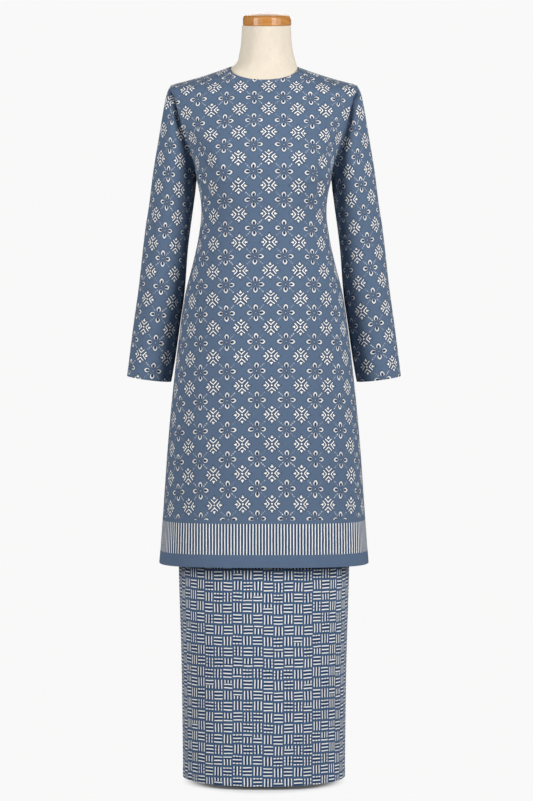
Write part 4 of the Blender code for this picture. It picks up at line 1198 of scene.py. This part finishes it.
def cloth_length(x, height, front):
    """How far a place lies above the yoke's level, over the cloth at the same x."""
    steps = np.linspace(0, 1, LENGTH_STEPS)[:, None, None]
    heights = YOKE_LEVEL + np.maximum(height - YOKE_LEVEL, 0) * steps
    depths = yoke_depth(np.broadcast_to(x, heights.shape), heights, front)
    return np.sum(np.hypot(np.diff(heights, axis=0), np.diff(depths, axis=0)), axis=0)


def print_tucks(s, height):
    """How many cells the front's print has moved outwards beside the armholes."""
    right, left = (between_rows(PRINT_TUCKS, side, height) for side in ("right", "left"))
    from_right, from_left = s - s[:, :1], s[:, -1:] - s
    return (left * (1 - smooth_step(from_left / PRINT_TUCK_REACH))
            - right * (1 - smooth_step(from_right / PRINT_TUCK_REACH)))


def tunic_places(panel, plan):
    """The print's cell coordinates of a panel's points: diamonds lie at whole numbers."""
    height, s = panel.points[..., 2], panel.s
    tilt = np.interp(height, DROOP_LEVELS, TILT) if plan.front else 0.0
    rise = np.interp(height, DROOP_LEVELS, DROOP) * s * s - tilt * s
    above = cloth_length(np.abs(panel.points[..., 0]), height, plan.front)
    raised = height + rise
    past_yoke = np.maximum(raised - YOKE_LEVEL, 0) / YOKE_ROW_PITCH
    low = -between_rows(PRINT_ROWS, "row", np.minimum(raised, YOKE_LEVEL)) + past_yoke
    high = YOKE_LEVEL_ROW + (above + rise) / YOKE_ROW_PITCH
    start = between_rows(PRINT_ROWS, "shift", height) if plan.front else 0.0
    a = (s - start) / between_rows(PRINT_ROWS, "pitch", height) + plan.shift
    if plan.front:
        a = a + print_tucks(s, height)
    return np.stack([a, np.where(height > YOKE_LEVEL, high, low)], axis=-1)


def tunic_cloth(panel):
    """Metres across the cloth and above its hem."""
    up = panel.points[..., 2] - panel.points[:1, :, 2]
    return np.stack([panel.s, up], axis=-1)


def sleeve_places(points, side):
    """Metres round a sleeve from its front, outwards, and up the arm from the cuff's centre.

    The first column comes again at the end, a whole turn further on.
    """
    x, y, z = points[..., 0] * side, points[..., 1], points[..., 2]
    lean_x, lean_z, slope = -math.sin(SLEEVE_HANG), math.cos(SLEEVE_HANG), math.tan(SLEEVE_HANG)
    v = (x - CUFF_CENTRE[0]) * lean_x + (z - CUFF_CENTRE[2]) * lean_z
    level = CUFF_CENTRE[2] + v * lean_z
    top = SLEEVE_TUBE[0].height
    centre_x = read_table(SLEEVE_TUBE, "centre_x", level) - np.maximum(level - top, 0) * slope
    outward = (x - centre_x) * lean_z - (z - level) * lean_x
    half_depth = read_table(SLEEVE_TUBE, "half_depth", level)
    turn = np.arctan2(outward / read_table(SLEEVE_TUBE, "half_width", level),
                      (read_table(SLEEVE_TUBE, "centre_y", level) - y) / half_depth)
    turn = np.unwrap(turn, axis=1) + (2 * math.pi if side < 0 else 0.0)
    turns = np.linspace(-2 * math.pi, 3 * math.pi, TURN_STEPS)
    pace = np.hypot(SLEEVE_SQUASH * np.cos(turns), np.sin(turns)) * (turns[1] - turns[0])
    length = np.cumsum(pace)
    length -= np.interp(0.0, turns, length)
    turn = np.concatenate([turn, turn[:, :1] + side * 2 * math.pi], axis=1)
    return np.interp(turn, turns, length) * close_ring(half_depth), close_ring(v)


# ---------------------------------------------------------------- pieces of cloth

CREASE_FADE = 0.012          # creases end this far from a seam

# The armhole seams lie at the foot of a fold: how deep it is in front and behind, from 0 at
# the armpit to 1 at the shoulder, and how far out the sleeve takes to come up again.
ArmholeFold = namedtuple("ArmholeFold", "up front back width")
ARMHOLE_FOLDS = (
    ArmholeFold(0.00, 0.0000, 0.0000, 0.014),
    ArmholeFold(0.12, 0.0060, 0.0006, 0.020),
    ArmholeFold(0.25, 0.0120, 0.0015, 0.022),
    ArmholeFold(0.42, 0.0160, 0.0028, 0.021),
    ArmholeFold(0.60, 0.0145, 0.0032, 0.015),
    ArmholeFold(0.80, 0.0100, 0.0030, 0.008),
    ArmholeFold(0.93, 0.0060, 0.0020, 0.005),
    ArmholeFold(1.00, 0.0015, 0.0015, 0.004),
)
ARMHOLE_ROLL = 0.0060        # the body's cloth rolls over into it within this,
ARMHOLE_OVERHANG = 0.50      # and hangs over the seam by this share of its depth
ARMHOLE_TURNED = 0.010       # this far from the seam the cloth's thickness follows the roll
ARMHOLE_TUCK = (0.34, 0.62)  # below this the cloth moves straight back, above it into the form
ARMHOLE_VALLEY = 0.0050      # lower down, the sleeves fall back from the body
ARMHOLE_VALLEY_WIDTH = 0.016
ZIP_FOOT = 0.850             # above this a concealed zip joins the two backs
ZIP_FADE = 0.03
ZIP_LIP = (0.0045, 0.0026, 0.0009)   # its highest place from the seam, its width and height
HEM_ALLOWANCE = 0.020
HEM_RIDGE = 0.0004
HEM_STITCH = (0.8, 0.0012)   # how deep the stitches pull, by the ridge, and how widely
FAR_AWAY = 9.0               # metres: no seam


def away_from(points, *edges):
    """How far each point of a grid is from the nearest of some edges."""
    return np.min([np.linalg.norm(points - edge, axis=2) for edge in edges], axis=0)


def fade_near(distance):
    return 1 - bell(distance, CREASE_FADE)


def hem_ridge(up):
    """The turned-up hem lifts the cloth a little, and its stitches pull it in."""
    depth, width = HEM_STITCH
    pulled = HEM_RIDGE * depth * bell(up - HEM_ALLOWANCE, width)
    return HEM_RIDGE * (1 - smooth_step(up / HEM_ALLOWANCE - 0.5)) - pulled


def zip_lip(points, seam):
    """The rolled lip along a concealed zip, and the groove between the two lips."""
    away = np.linalg.norm(points - seam, axis=2)
    place, width, height = ZIP_LIP
    share = smooth_step((points[..., 2] - ZIP_FOOT) / ZIP_FADE)
    return share * height * (bell(away - place, width) - bell(away, width))


def armhole_depth(up, front):
    """How deep the armhole folds are, where front is 1 in front and 0 behind."""
    ahead, behind = (between_rows(ARMHOLE_FOLDS, name, up) for name in ("front", "back"))
    return behind + (ahead - behind) * front


def fold_depths(panel, front):
    """How far up the armhole each row of a panel is, and how deep the folds are there."""
    start = len(panel_shares()[0])
    up = np.zeros(len(panel.points))
    up[start:] = np.linspace(0, 1, len(up) - start)
    return up[:, None], armhole_depth(up, float(front))[:, None]


def fold_ways(normals, up, front):
    """The direction in which the armhole folds are deep."""
    tucked = smooth_step((up - ARMHOLE_TUCK[0]) / (ARMHOLE_TUCK[1] - ARMHOLE_TUCK[0]))[..., None]
    straight = np.zeros(normals.shape)
    straight[..., 1] = np.where(front, 1.0, -1.0)
    ways = straight * (1 - tucked) - normals * tucked
    return ways / np.linalg.norm(ways, axis=2, keepdims=True)


def body_roll(panel, plan):
    """How the body's cloth moves over and down towards the armhole seams."""
    moved = np.zeros(panel.points.shape)
    up, depths = fold_depths(panel, plan.front)
    deep = fold_ways(panel.normals, up, plan.front)
    for column in plan.armholes:
        ways = panel.points[:, column][:, None] - panel.points
        near = np.linalg.norm(ways, axis=2)
        over = hump(near, ARMHOLE_ROLL) * depths * ARMHOLE_OVERHANG
        moved += ways / np.maximum(near, SAME)[..., None] * over[..., None]
        moved += deep * (depths * bell(near, ARMHOLE_ROLL))[..., None]
    return moved


def turned_normals(outer, normals, near):
    """Near a fold, the way in which the cloth is thick follows the fold."""
    share = np.exp(-((near / ARMHOLE_TURNED) ** 4))[..., None]
    mixed = normals * (1 - share) + grid_normals(outer) * share
    return mixed / np.linalg.norm(mixed, axis=2, keepdims=True)


def shoulder_seam(points, column):
    """The top row where it is a shoulder seam, which starts at an armhole's edge column."""
    places = np.arange(points.shape[1])[:: 1 if column == 0 else -1, None]
    return np.where(places < shoulder_columns(), points[-1], FAR_AWAY)[None]


def armhole_distance(points, plan):
    return away_from(points, *(points[:, column][:, None] for column in plan.armholes))


def tunic_piece(name, panel, plan, finishes):
    """One panel of the tunic, with its creases, seams and hem, and the rolls at its armholes."""
    points, cloths = panel.points, tunic_cloth(panel)
    shoulders = [shoulder_seam(points, column) for column in plan.armholes]
    distance = away_from(points, points[:, :1], points[:, -1:], *shoulders)
    lift = crease_height(plan.creases, panel.s, points[..., 2]) * fade_near(distance)
    lift = lift + seam_dip(distance) + hem_ridge(cloths[..., 1])
    if plan.zip is not None:
        lift = lift + zip_lip(points, points[:, plan.zip][:, None])
    outer = points + panel.normals * lift[..., None] + body_roll(panel, plan)
    # Below the armpit there is no fold, so the armhole counts as a metre further away.
    near = armhole_distance(points, plan) + (fold_depths(panel, True)[1] == 0)
    normals = turned_normals(outer, panel.normals, near)
    return shell_object(name, outer, normals, tunic_places(panel, plan), cloths, finishes)


def armhole_loop(first, second):
    """One closed loop from two panel edges: up the first from the armpit, down the second."""
    start = len(panel_shares()[0])
    return np.concatenate([first[start:], second[start + 1 : -1][::-1]])


def join_armhole(first, second, sleeve):
    """Gives both edges of an armhole and the sleeve's top row the same normals."""
    start = len(panel_shares()[0])
    loop = armhole_loop(first, second)
    share_normals(loop, sleeve[-1])
    steps = len(first) - start
    closed = np.concatenate([loop, loop[:1]])
    first[start:] = closed[:steps]
    second[start:] = closed[: steps - 2 : -1]


CAP_ROWS = 34
TUBE_ROWS = 64
VALLEY_SHAPE = (0.35, 0.6, 0.7)          # its least width by its most, and how it fades
FALL_SHAPE = 1.4                         # above 1 the fold's foot is round
SLEEVE_PLAIN = 0.2                       # below this a sleeve hangs free of the body


def make_sleeve(armhole, side):
    points = sleeve_rows(armhole, side, CAP_ROWS, TUBE_ROWS)
    return points, grid_normals(points, wrap=True)


def armhole_valley(distance, columns):
    """How far a sleeve falls back behind the body beside its armhole, less towards the shoulder."""
    narrowest, beside_power, down_power = VALLEY_SHAPE
    turn = np.arange(columns) * 2 / columns
    down = np.abs(1 - turn)
    beside = np.abs(np.sin(math.pi * turn)) ** beside_power
    width = ARMHOLE_VALLEY_WIDTH * (narrowest + (1 - narrowest) * down)
    return ARMHOLE_VALLEY * beside * down**down_power * hump(distance, width)


def sleeve_fall(distance, normals, side):
    """How a sleeve's cloth moves towards the foot of the fold at its armhole seam."""
    turn = np.arange(distance.shape[1]) * 2 / distance.shape[1]
    up = 1 - np.abs(1 - turn)
    front = np.where((turn < 1) == (side > 0), 1.0, 0.0)
    depth, width = armhole_depth(up, front), between_rows(ARMHOLE_FOLDS, "width", up)
    deep = fold_ways(normals, np.broadcast_to(up, distance.shape), front)
    return deep * (depth * np.exp(-((distance / width) ** FALL_SHAPE)))[..., None]


def sleeve_piece(name, points, normals, side, finishes):
    """One sleeve, creased, sunk at its seams and fallen in towards the armhole."""
    around, up = sleeve_places(points, side)
    shown = SLEEVE_PRINTS[side]
    shifted = around - np.interp(up, shown.heights, shown.shifts)
    rows = (up - shown.first_row) / shown.row_pitch
    places = np.stack([shifted / SLEEVE_PITCH + 0.5, rows], axis=-1)
    cloths = np.stack([around, up + SLEEVE_CLOTH_UP], axis=-1)
    around, up = around[:, :-1], up[:, :-1]
    near = away_from(points, points[-1:])
    under = away_from(points, points[:, :1])
    lift = crease_height(SLEEVE_CREASES, around, up) * fade_near(np.minimum(near, under))
    lift = lift + seam_dip(near) + seam_dip(under) + hem_ridge(up - up[:1])
    lift = lift - armhole_valley(near, points.shape[1]) * (up > SLEEVE_PLAIN)
    outer = points + normals * lift[..., None] + sleeve_fall(near, normals, side)
    return shell_object(name, outer, normals, places, cloths, finishes, wrap=True)


def make_tunic(cloth, wrong_side):
    """The front, the two backs and both sleeves."""
    finishes = (cloth, wrong_side)
    panels = make_panels()
    front, left, right = panels
    sleeves = {}
    for name, first, i, second, j, side in (("sleeve_left", front, -1, left, 0, 1),
                                            ("sleeve_right", right, -1, front, 0, -1)):
        points, normals = make_sleeve(armhole_loop(first.points[:, i], second.points[:, j]), side)
        join_armhole(first.normals[:, i], second.normals[:, j], normals)
        sleeves[name] = (points, normals, side)
    made = {}
    for (name, plan), panel in zip(PANEL_PLANS.items(), panels):
        made["tunic_" + name] = tunic_piece(name + "_cloth", panel, plan, finishes)
    for name, parts in sleeves.items():
        made[name] = sleeve_piece(name + "_cloth", *parts, finishes)
    return made


# ---------------------------------------------------------------- skirt and form

SKIRT_ACROSS = 49
SKIRT_ROWS = 90
SKIRT_SIDE_RISE = 0.0042
SKIRT_RISE_FADE = 0.30
SKIRT_SPACING = 1.25         # above 1 its rows are closer together near the hem
WAISTBAND_ACROSS = 61
WAISTBAND_ROWS = 13
GATHERS = 34
GATHER_DEPTH = 0.0006
FORM_ROWS = 54
FORM_STEP = 0.006            # from the last of them to the armpit
FORM_ROLL = 0.0075           # the form's edge is rounder than the cloth's roll
NECK_STEPS = 8
LINEN_RADIUS = 0.09          # for lengths round the form
SHARP_FORM = math.radians(50)
MILLIMETRES = 1000


def half_ring(x, y):
    """Level rows of points from x at one side, past the middle, to -x at the other."""
    start, end = np.stack([x, y], axis=-1), np.stack([-x, y], axis=-1)
    return np.concatenate([start[:, ::-1], end[:, 1:]], axis=1)


def oval_rings(table, heights, across, middle=0.0):
    """Level rings, counter-clockwise from the wearer's right side seam over the front."""
    heights = np.asarray(heights, float)[:, None]
    names = ("half_width", "squareness", "front", "back")
    half_width, squareness, front, back = (read_table(table, name, heights) for name in names)
    x, y = oval(half_width, front + middle, squareness, across[None, :])
    front_half = half_ring(-x, middle - y)
    x, y = oval(half_width, back - middle, squareness, across[None, :])
    ring = np.concatenate([front_half[:, :-1], half_ring(x, middle + y)[:, :-1]], axis=1)
    level = np.broadcast_to(heights[..., None], (*ring.shape[:2], 1))
    return np.concatenate([ring, level], axis=-1)


def skirt_hem_rise(rings):
    """How much higher the skirt hangs at its sides than in front, fading upwards."""
    sideways = np.abs(rings[..., 0]) / SKIRT[0].half_width
    fade = 1 - smooth_step((rings[..., 2] - SKIRT_HEM) / SKIRT_RISE_FADE)
    return SKIRT_SIDE_RISE * sideways**2 * fade


def make_skirt(cloth, wrong_side):
    """The skirt's front and back, which meet at its side seams."""
    across = np.unique(np.concatenate([np.linspace(0, 1, SKIRT_ACROSS), 1 - np.array(NEAR_SEAM)]))
    shares = np.linspace(0, 1, SKIRT_ROWS) ** SKIRT_SPACING
    rings = oval_rings(SKIRT, SKIRT_HEM + (SKIRT_TOP - SKIRT_HEM) * shares, across)
    rings[..., 2] += skirt_hem_rise(rings)
    rings, ways = close_ring(rings), close_ring(grid_normals(rings, wrap=True))
    half = 2 * (len(across) - 1)
    made = {}
    for name, chosen in (("skirt_front", slice(0, half + 1)), ("skirt_back", slice(half, None))):
        points, normals = rings[:, chosen], ways[:, chosen]
        height = points[..., 2]
        s, up = arcs(points, points.shape[1] // 2), height - height[:1]
        distance = away_from(points, points[:, :1], points[:, -1:])
        lift = crease_height(SKIRT_CREASES, s, height) * fade_near(distance)
        lift = lift + seam_dip(distance) + hem_ridge(up)
        origin_s, origin_height = SKIRT_PRINT_ORIGIN
        places = np.stack([(s - origin_s) / CELL_WIDTH * MILLIMETRES + 0.5,
                           (height - origin_height) / CELL_HEIGHT * MILLIMETRES + 0.5], axis=-1)
        made[name] = shell_object(name + "_cloth", points + normals * lift[..., None], normals,
                                  places, np.stack([s, up], axis=-1), (cloth, wrong_side))
    return made


def make_waistband(cloth):
    """The elasticated band at the top of the skirt, gathered all round."""
    low = SKIRT_TOP + SEAM_GAP
    heights = np.linspace(low, low + WAISTBAND_HEIGHT, WAISTBAND_ROWS)
    straight = SKIRT[-1:] + (SKIRT[-1]._replace(height=low + WAISTBAND_HEIGHT),)
    rings = oval_rings(straight, heights, np.linspace(0, 1, WAISTBAND_ACROSS))
    normals = grid_normals(rings, wrap=True)
    turn = np.arange(rings.shape[1]) / rings.shape[1] * 2 * math.pi
    height = (rings[..., 2] - low) / WAISTBAND_HEIGHT
    lift = GATHER_DEPTH * np.sin(GATHERS * turn) * np.sin(math.pi * height)
    outer = rings + normals * lift[..., None]
    closed = close_ring(rings)
    cloths = np.stack([arcs(closed, 0), closed[..., 2]], axis=-1)
    finishes = (cloth, cloth)
    return shell_object("waistband_cloth", outer, normals, cloths, cloths, finishes, wrap=True)


def blend_rows(levels, steps):
    """Rows on smooth curves through some rows of points."""
    levels = np.array(levels)
    ends = np.concatenate([levels[:1] * 2 - levels[1:2], levels, levels[-1:] * 2 - levels[-2:-1]])
    rows = []
    for k in range(len(levels) - 1):
        a, b, c, d = ends[k : k + 4]
        for t in np.arange(steps) / steps:
            rows.append(0.5 * (2 * b + (c - a) * t + (2 * a - 5 * b + 4 * c - d) * t**2
                               + (3 * b - a - 3 * c + d) * t**3))
    return np.array(rows + [levels[-1]])


def form_yoke(panel, plan):
    """The form under a panel of the tunic, above the armpit, where it gives way to its folds."""
    start = len(panel_shares()[0])
    rise = np.linspace(0, 1, len(panel.points) - start)[:, None, None]
    ease = FORM_EASE_ARMPIT + (FORM_EASE_SHOULDER - FORM_EASE_ARMPIT) * rise
    near = armhole_distance(panel.points, plan)
    rolled = fold_depths(panel, plan.front)[1] * bell(near, FORM_ROLL)
    creases = crease_height(plan.creases, panel.s, panel.points[..., 2])
    pushed = (rolled + np.maximum(-creases, 0.0))[start:, :, None]
    return panel.points[start:] - panel.normals[start:] * (CLOTH + ease + pushed)


def form_grids():
    """The grids of points that make the form's skin: torso, three yoke panels and neck."""
    yokes = [form_yoke(panel, plan) for panel, plan in zip(make_panels(), PANEL_PLANS.values())]
    front, left, right = yokes
    for points, column, side in ((front, 0, -1), (front, -1, 1), (left, 0, 1), (right, -1, -1)):
        points[:, column, 0] -= side * ARMPLATE_INSET
        points[0, column, 1] = 0.0
    across = half_columns()
    heights = np.linspace(FORM_BODY[0].height, ARMPIT - FORM_STEP, FORM_ROWS)
    seam_ring = np.concatenate([front[0], left[0, 1:], right[0, 1:]])
    torso = np.concatenate([close_ring(oval_rings(FORM_BODY, heights, across)), seam_ring[None]])
    neck = int(np.sum(across <= NECK_SHARE + SAME)) - 1
    middle = len(across) - 1
    in_front = front[-1, middle - neck : middle + neck + 1]
    foot = np.concatenate([in_front, left[-1, -neck:], right[-1, 1 : neck + 1]])
    neck_heights = [row.height for row in NECK]
    levels = oval_rings(NECK, neck_heights, across[: neck + 1] / NECK_SHARE, NECK_MIDDLE)
    levels[..., 0] += NECK_SHIFT
    plates = [np.stack([first[:, -1], second[:, 0]], axis=1)
              for first, second in ((front, left), (right, front))]
    return [torso, *yokes, *plates, blend_rows([foot, *close_ring(levels)], NECK_STEPS)]


def make_form(linen):
    """The padded body of the form, closed below and at the top of its neck."""
    mesh = bmesh.new()
    grids = form_grids()
    for grid in grids:
        verts = [[mesh.verts.new(point) for point in row] for row in grid]
        for low, high in zip(verts, verts[1:]):
            for j in range(len(low) - 1):
                mesh.faces.new((low[j], low[j + 1], high[j + 1], high[j]))
    mesh.faces.new([mesh.verts.new(point) for point in grids[0][0, -2::-1]])
    mesh.faces.new([mesh.verts.new(point) for point in grids[-1][-1, :-1]])
    bmesh.ops.remove_doubles(mesh, verts=mesh.verts[:], dist=SAME)
    data = bpy.data.meshes.new("form_linen")
    mesh.to_mesh(data)
    mesh.free()
    data.materials.append(linen)
    places = np.array([vertex.co for vertex in data.vertices])
    turn = np.arctan2(places[:, 0], -places[:, 1])
    layer = data.uv_layers.new(name="cloth")
    for face in data.polygons:
        turns = np.unwrap([turn[v] for v in face.vertices])
        for loop, vertex, angle in zip(face.loop_indices, face.vertices, turns):
            layer.data[loop].uv = (angle * LINEN_RADIUS, places[vertex, 2])
    data.shade_smooth()
    data.set_sharp_from_angle(angle=SHARP_FORM)
    return add_object("form_skin", data)


# ---------------------------------------------------------------- studio

CAMERA_TILT = math.radians(4.5)
CAMERA_DISTANCE = 13.6
CAMERA_TARGET = (0.0049, 0.0, 0.742)
FOCAL_LENGTH = 315.1
BACKDROP_WHITE = (0.90, 0.90, 0.90)
BACKDROP_SHOWN = (0.947, 0.946, 0.945)
FLOOR_RADIUS = 3.0
SHADOW_SIZE = (0.166, 0.212)             # the skirt's shadow is lost in the white this far out
SHADOW_START = 0.70
SHADOW_STRENGTH = 0.92
ROOM_LIGHT = 0.10
FLOOR_DROP = 0.0005                      # the floor lies this far below the part

Light = namedtuple("Light", "name azimuth distance height target size power")
LIGHTS = (
    Light("softbox_right", 48, 3.2, 1.9, (0, 0, 0.85), (1.2, 2.2), 104),
    Light("softbox_left", -52, 3.2, 1.9, (0, 0, 0.85), (1.2, 2.2), 80),
    Light("back_light", 178, 3.8, 2.3, (0, 0, 0.9), (1.6, 1.8), 112),
)


def make_camera():
    data = bpy.data.cameras.new("camera")
    data.lens = FOCAL_LENGTH
    data.sensor_width = 36.0
    data.clip_end = 100.0
    made = add_object("camera", data)
    x, y, z = CAMERA_TARGET
    away, up = CAMERA_DISTANCE * math.cos(CAMERA_TILT), CAMERA_DISTANCE * math.sin(CAMERA_TILT)
    made.location = (x, y - away, z + up)
    made.rotation_euler = (math.pi / 2 - CAMERA_TILT, 0, 0)
    bpy.context.scene.camera = made


def floor_material():
    """White paper, as bright as the wall behind; only the skirt's own shadow shows on it."""
    made, tree, shader = new_material("studio_paper", 1.0, specular=0.0)
    shader.inputs["Base Color"].default_value = (*BACKDROP_WHITE, 1.0)
    x, y, _ = object_values(tree)
    near = hypotenuse(x / SHADOW_SIZE[0], y / SHADOW_SIZE[1]).soft_drop(SHADOW_START, 1.0)
    bright = tree.nodes.new("ShaderNodeEmission")
    bright.inputs["Color"].default_value = (*BACKDROP_SHOWN, 1.0)
    shown = near * SHADOW_STRENGTH
    mix_shaders(tree, shown, bright.outputs[0], shader.outputs[0], "Material Output")
    return made


def make_stage():
    """A round floor, lit evenly, whose far edge can't be told from the wall behind it."""
    mesh = bmesh.new()
    bmesh.ops.create_circle(mesh, cap_ends=True, segments=128, radius=FLOOR_RADIUS)
    data = bpy.data.meshes.new("studio_floor")
    mesh.to_mesh(data)
    mesh.free()
    data.materials.append(floor_material())
    made = add_object("studio_floor", data)
    made.location.z = -FLOOR_DROP
    made.visible_diffuse = False


def make_room():
    """The room: the bright wall that is seen, and the dim light that comes from all round."""
    world = bpy.data.worlds.new("room")
    bpy.context.scene.world = world
    world.use_nodes = True
    tree = world.node_tree
    seen = tree.nodes["Background"]
    seen.inputs["Color"].default_value = (*BACKDROP_SHOWN, 1.0)
    fill = tree.nodes.new("ShaderNodeBackground")
    fill.inputs["Strength"].default_value = ROOM_LIGHT
    is_seen = Value(tree, tree.nodes.new("ShaderNodeLightPath").outputs["Is Camera Ray"])
    mix_shaders(tree, is_seen, fill.outputs[0], seen.outputs[0], "World Output")


def make_lights():
    """Each light is a rectangle that faces its target."""
    for light in LIGHTS:
        data = bpy.data.lights.new(light.name, "AREA")
        data.shape = "RECTANGLE"
        data.size, data.size_y = light.size
        data.energy = light.power
        made = add_object(light.name, data)
        turn = math.radians(light.azimuth)
        place = (light.distance * math.sin(turn), -light.distance * math.cos(turn), light.height)
        made.location = place
        facing = Vector(light.target) - Vector(place)
        made.rotation_euler = facing.to_track_quat("-Z", "Y").to_euler()
    bpy.context.scene.view_settings.view_transform = "Standard"


# ---------------------------------------------------------------- the whole scene

# A piece's slot and its cut before it was sewn: width and length, area, and what holds it.
Cut = namedtuple("Cut", "slot flat area held rests_on")


def dress_form():
    """The tunic, the skirt and its waistband, each in its solid's place, on the form."""
    tunic = printed_cloth("tunic_cotton", bordered=True)
    skirt = printed_cloth("skirt_cotton", bordered=False)
    wrong_side = plain_cloth("cloth_wrong_side", WRONG_SIDE)
    made = make_tunic(tunic, wrong_side)
    made.update(make_skirt(skirt, wrong_side))
    made["skirt_waistband"] = make_waistband(plain_cloth("waistband_cotton", WRONG_SIDE))
    for node, piece in made.items():
        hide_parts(node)
        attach(piece, "outfit")
    form = make_form(plain_cloth("linen", LINEN, FORM_LINEN))
    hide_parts("form_torso")
    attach(form, "outfit")


def finish_fittings():
    """Gives the solids that show as they are their finishes."""
    wood, steel = wood_material(), steel_material()
    tape, metal = zip_tape_material(), zip_metal_material()
    looks = {"form_neck_cap": wood, "stand_pole": steel, "stand_base": steel, "zip_tape": tape,
             "zip_slider": metal, "zip_pull": metal}
    for node, look in looks.items():
        materials = bpy.data.objects[node].data.materials
        materials.clear()
        materials.append(look)


dress_form()
finish_fittings()
make_camera()
make_stage()
make_room()
make_lights()
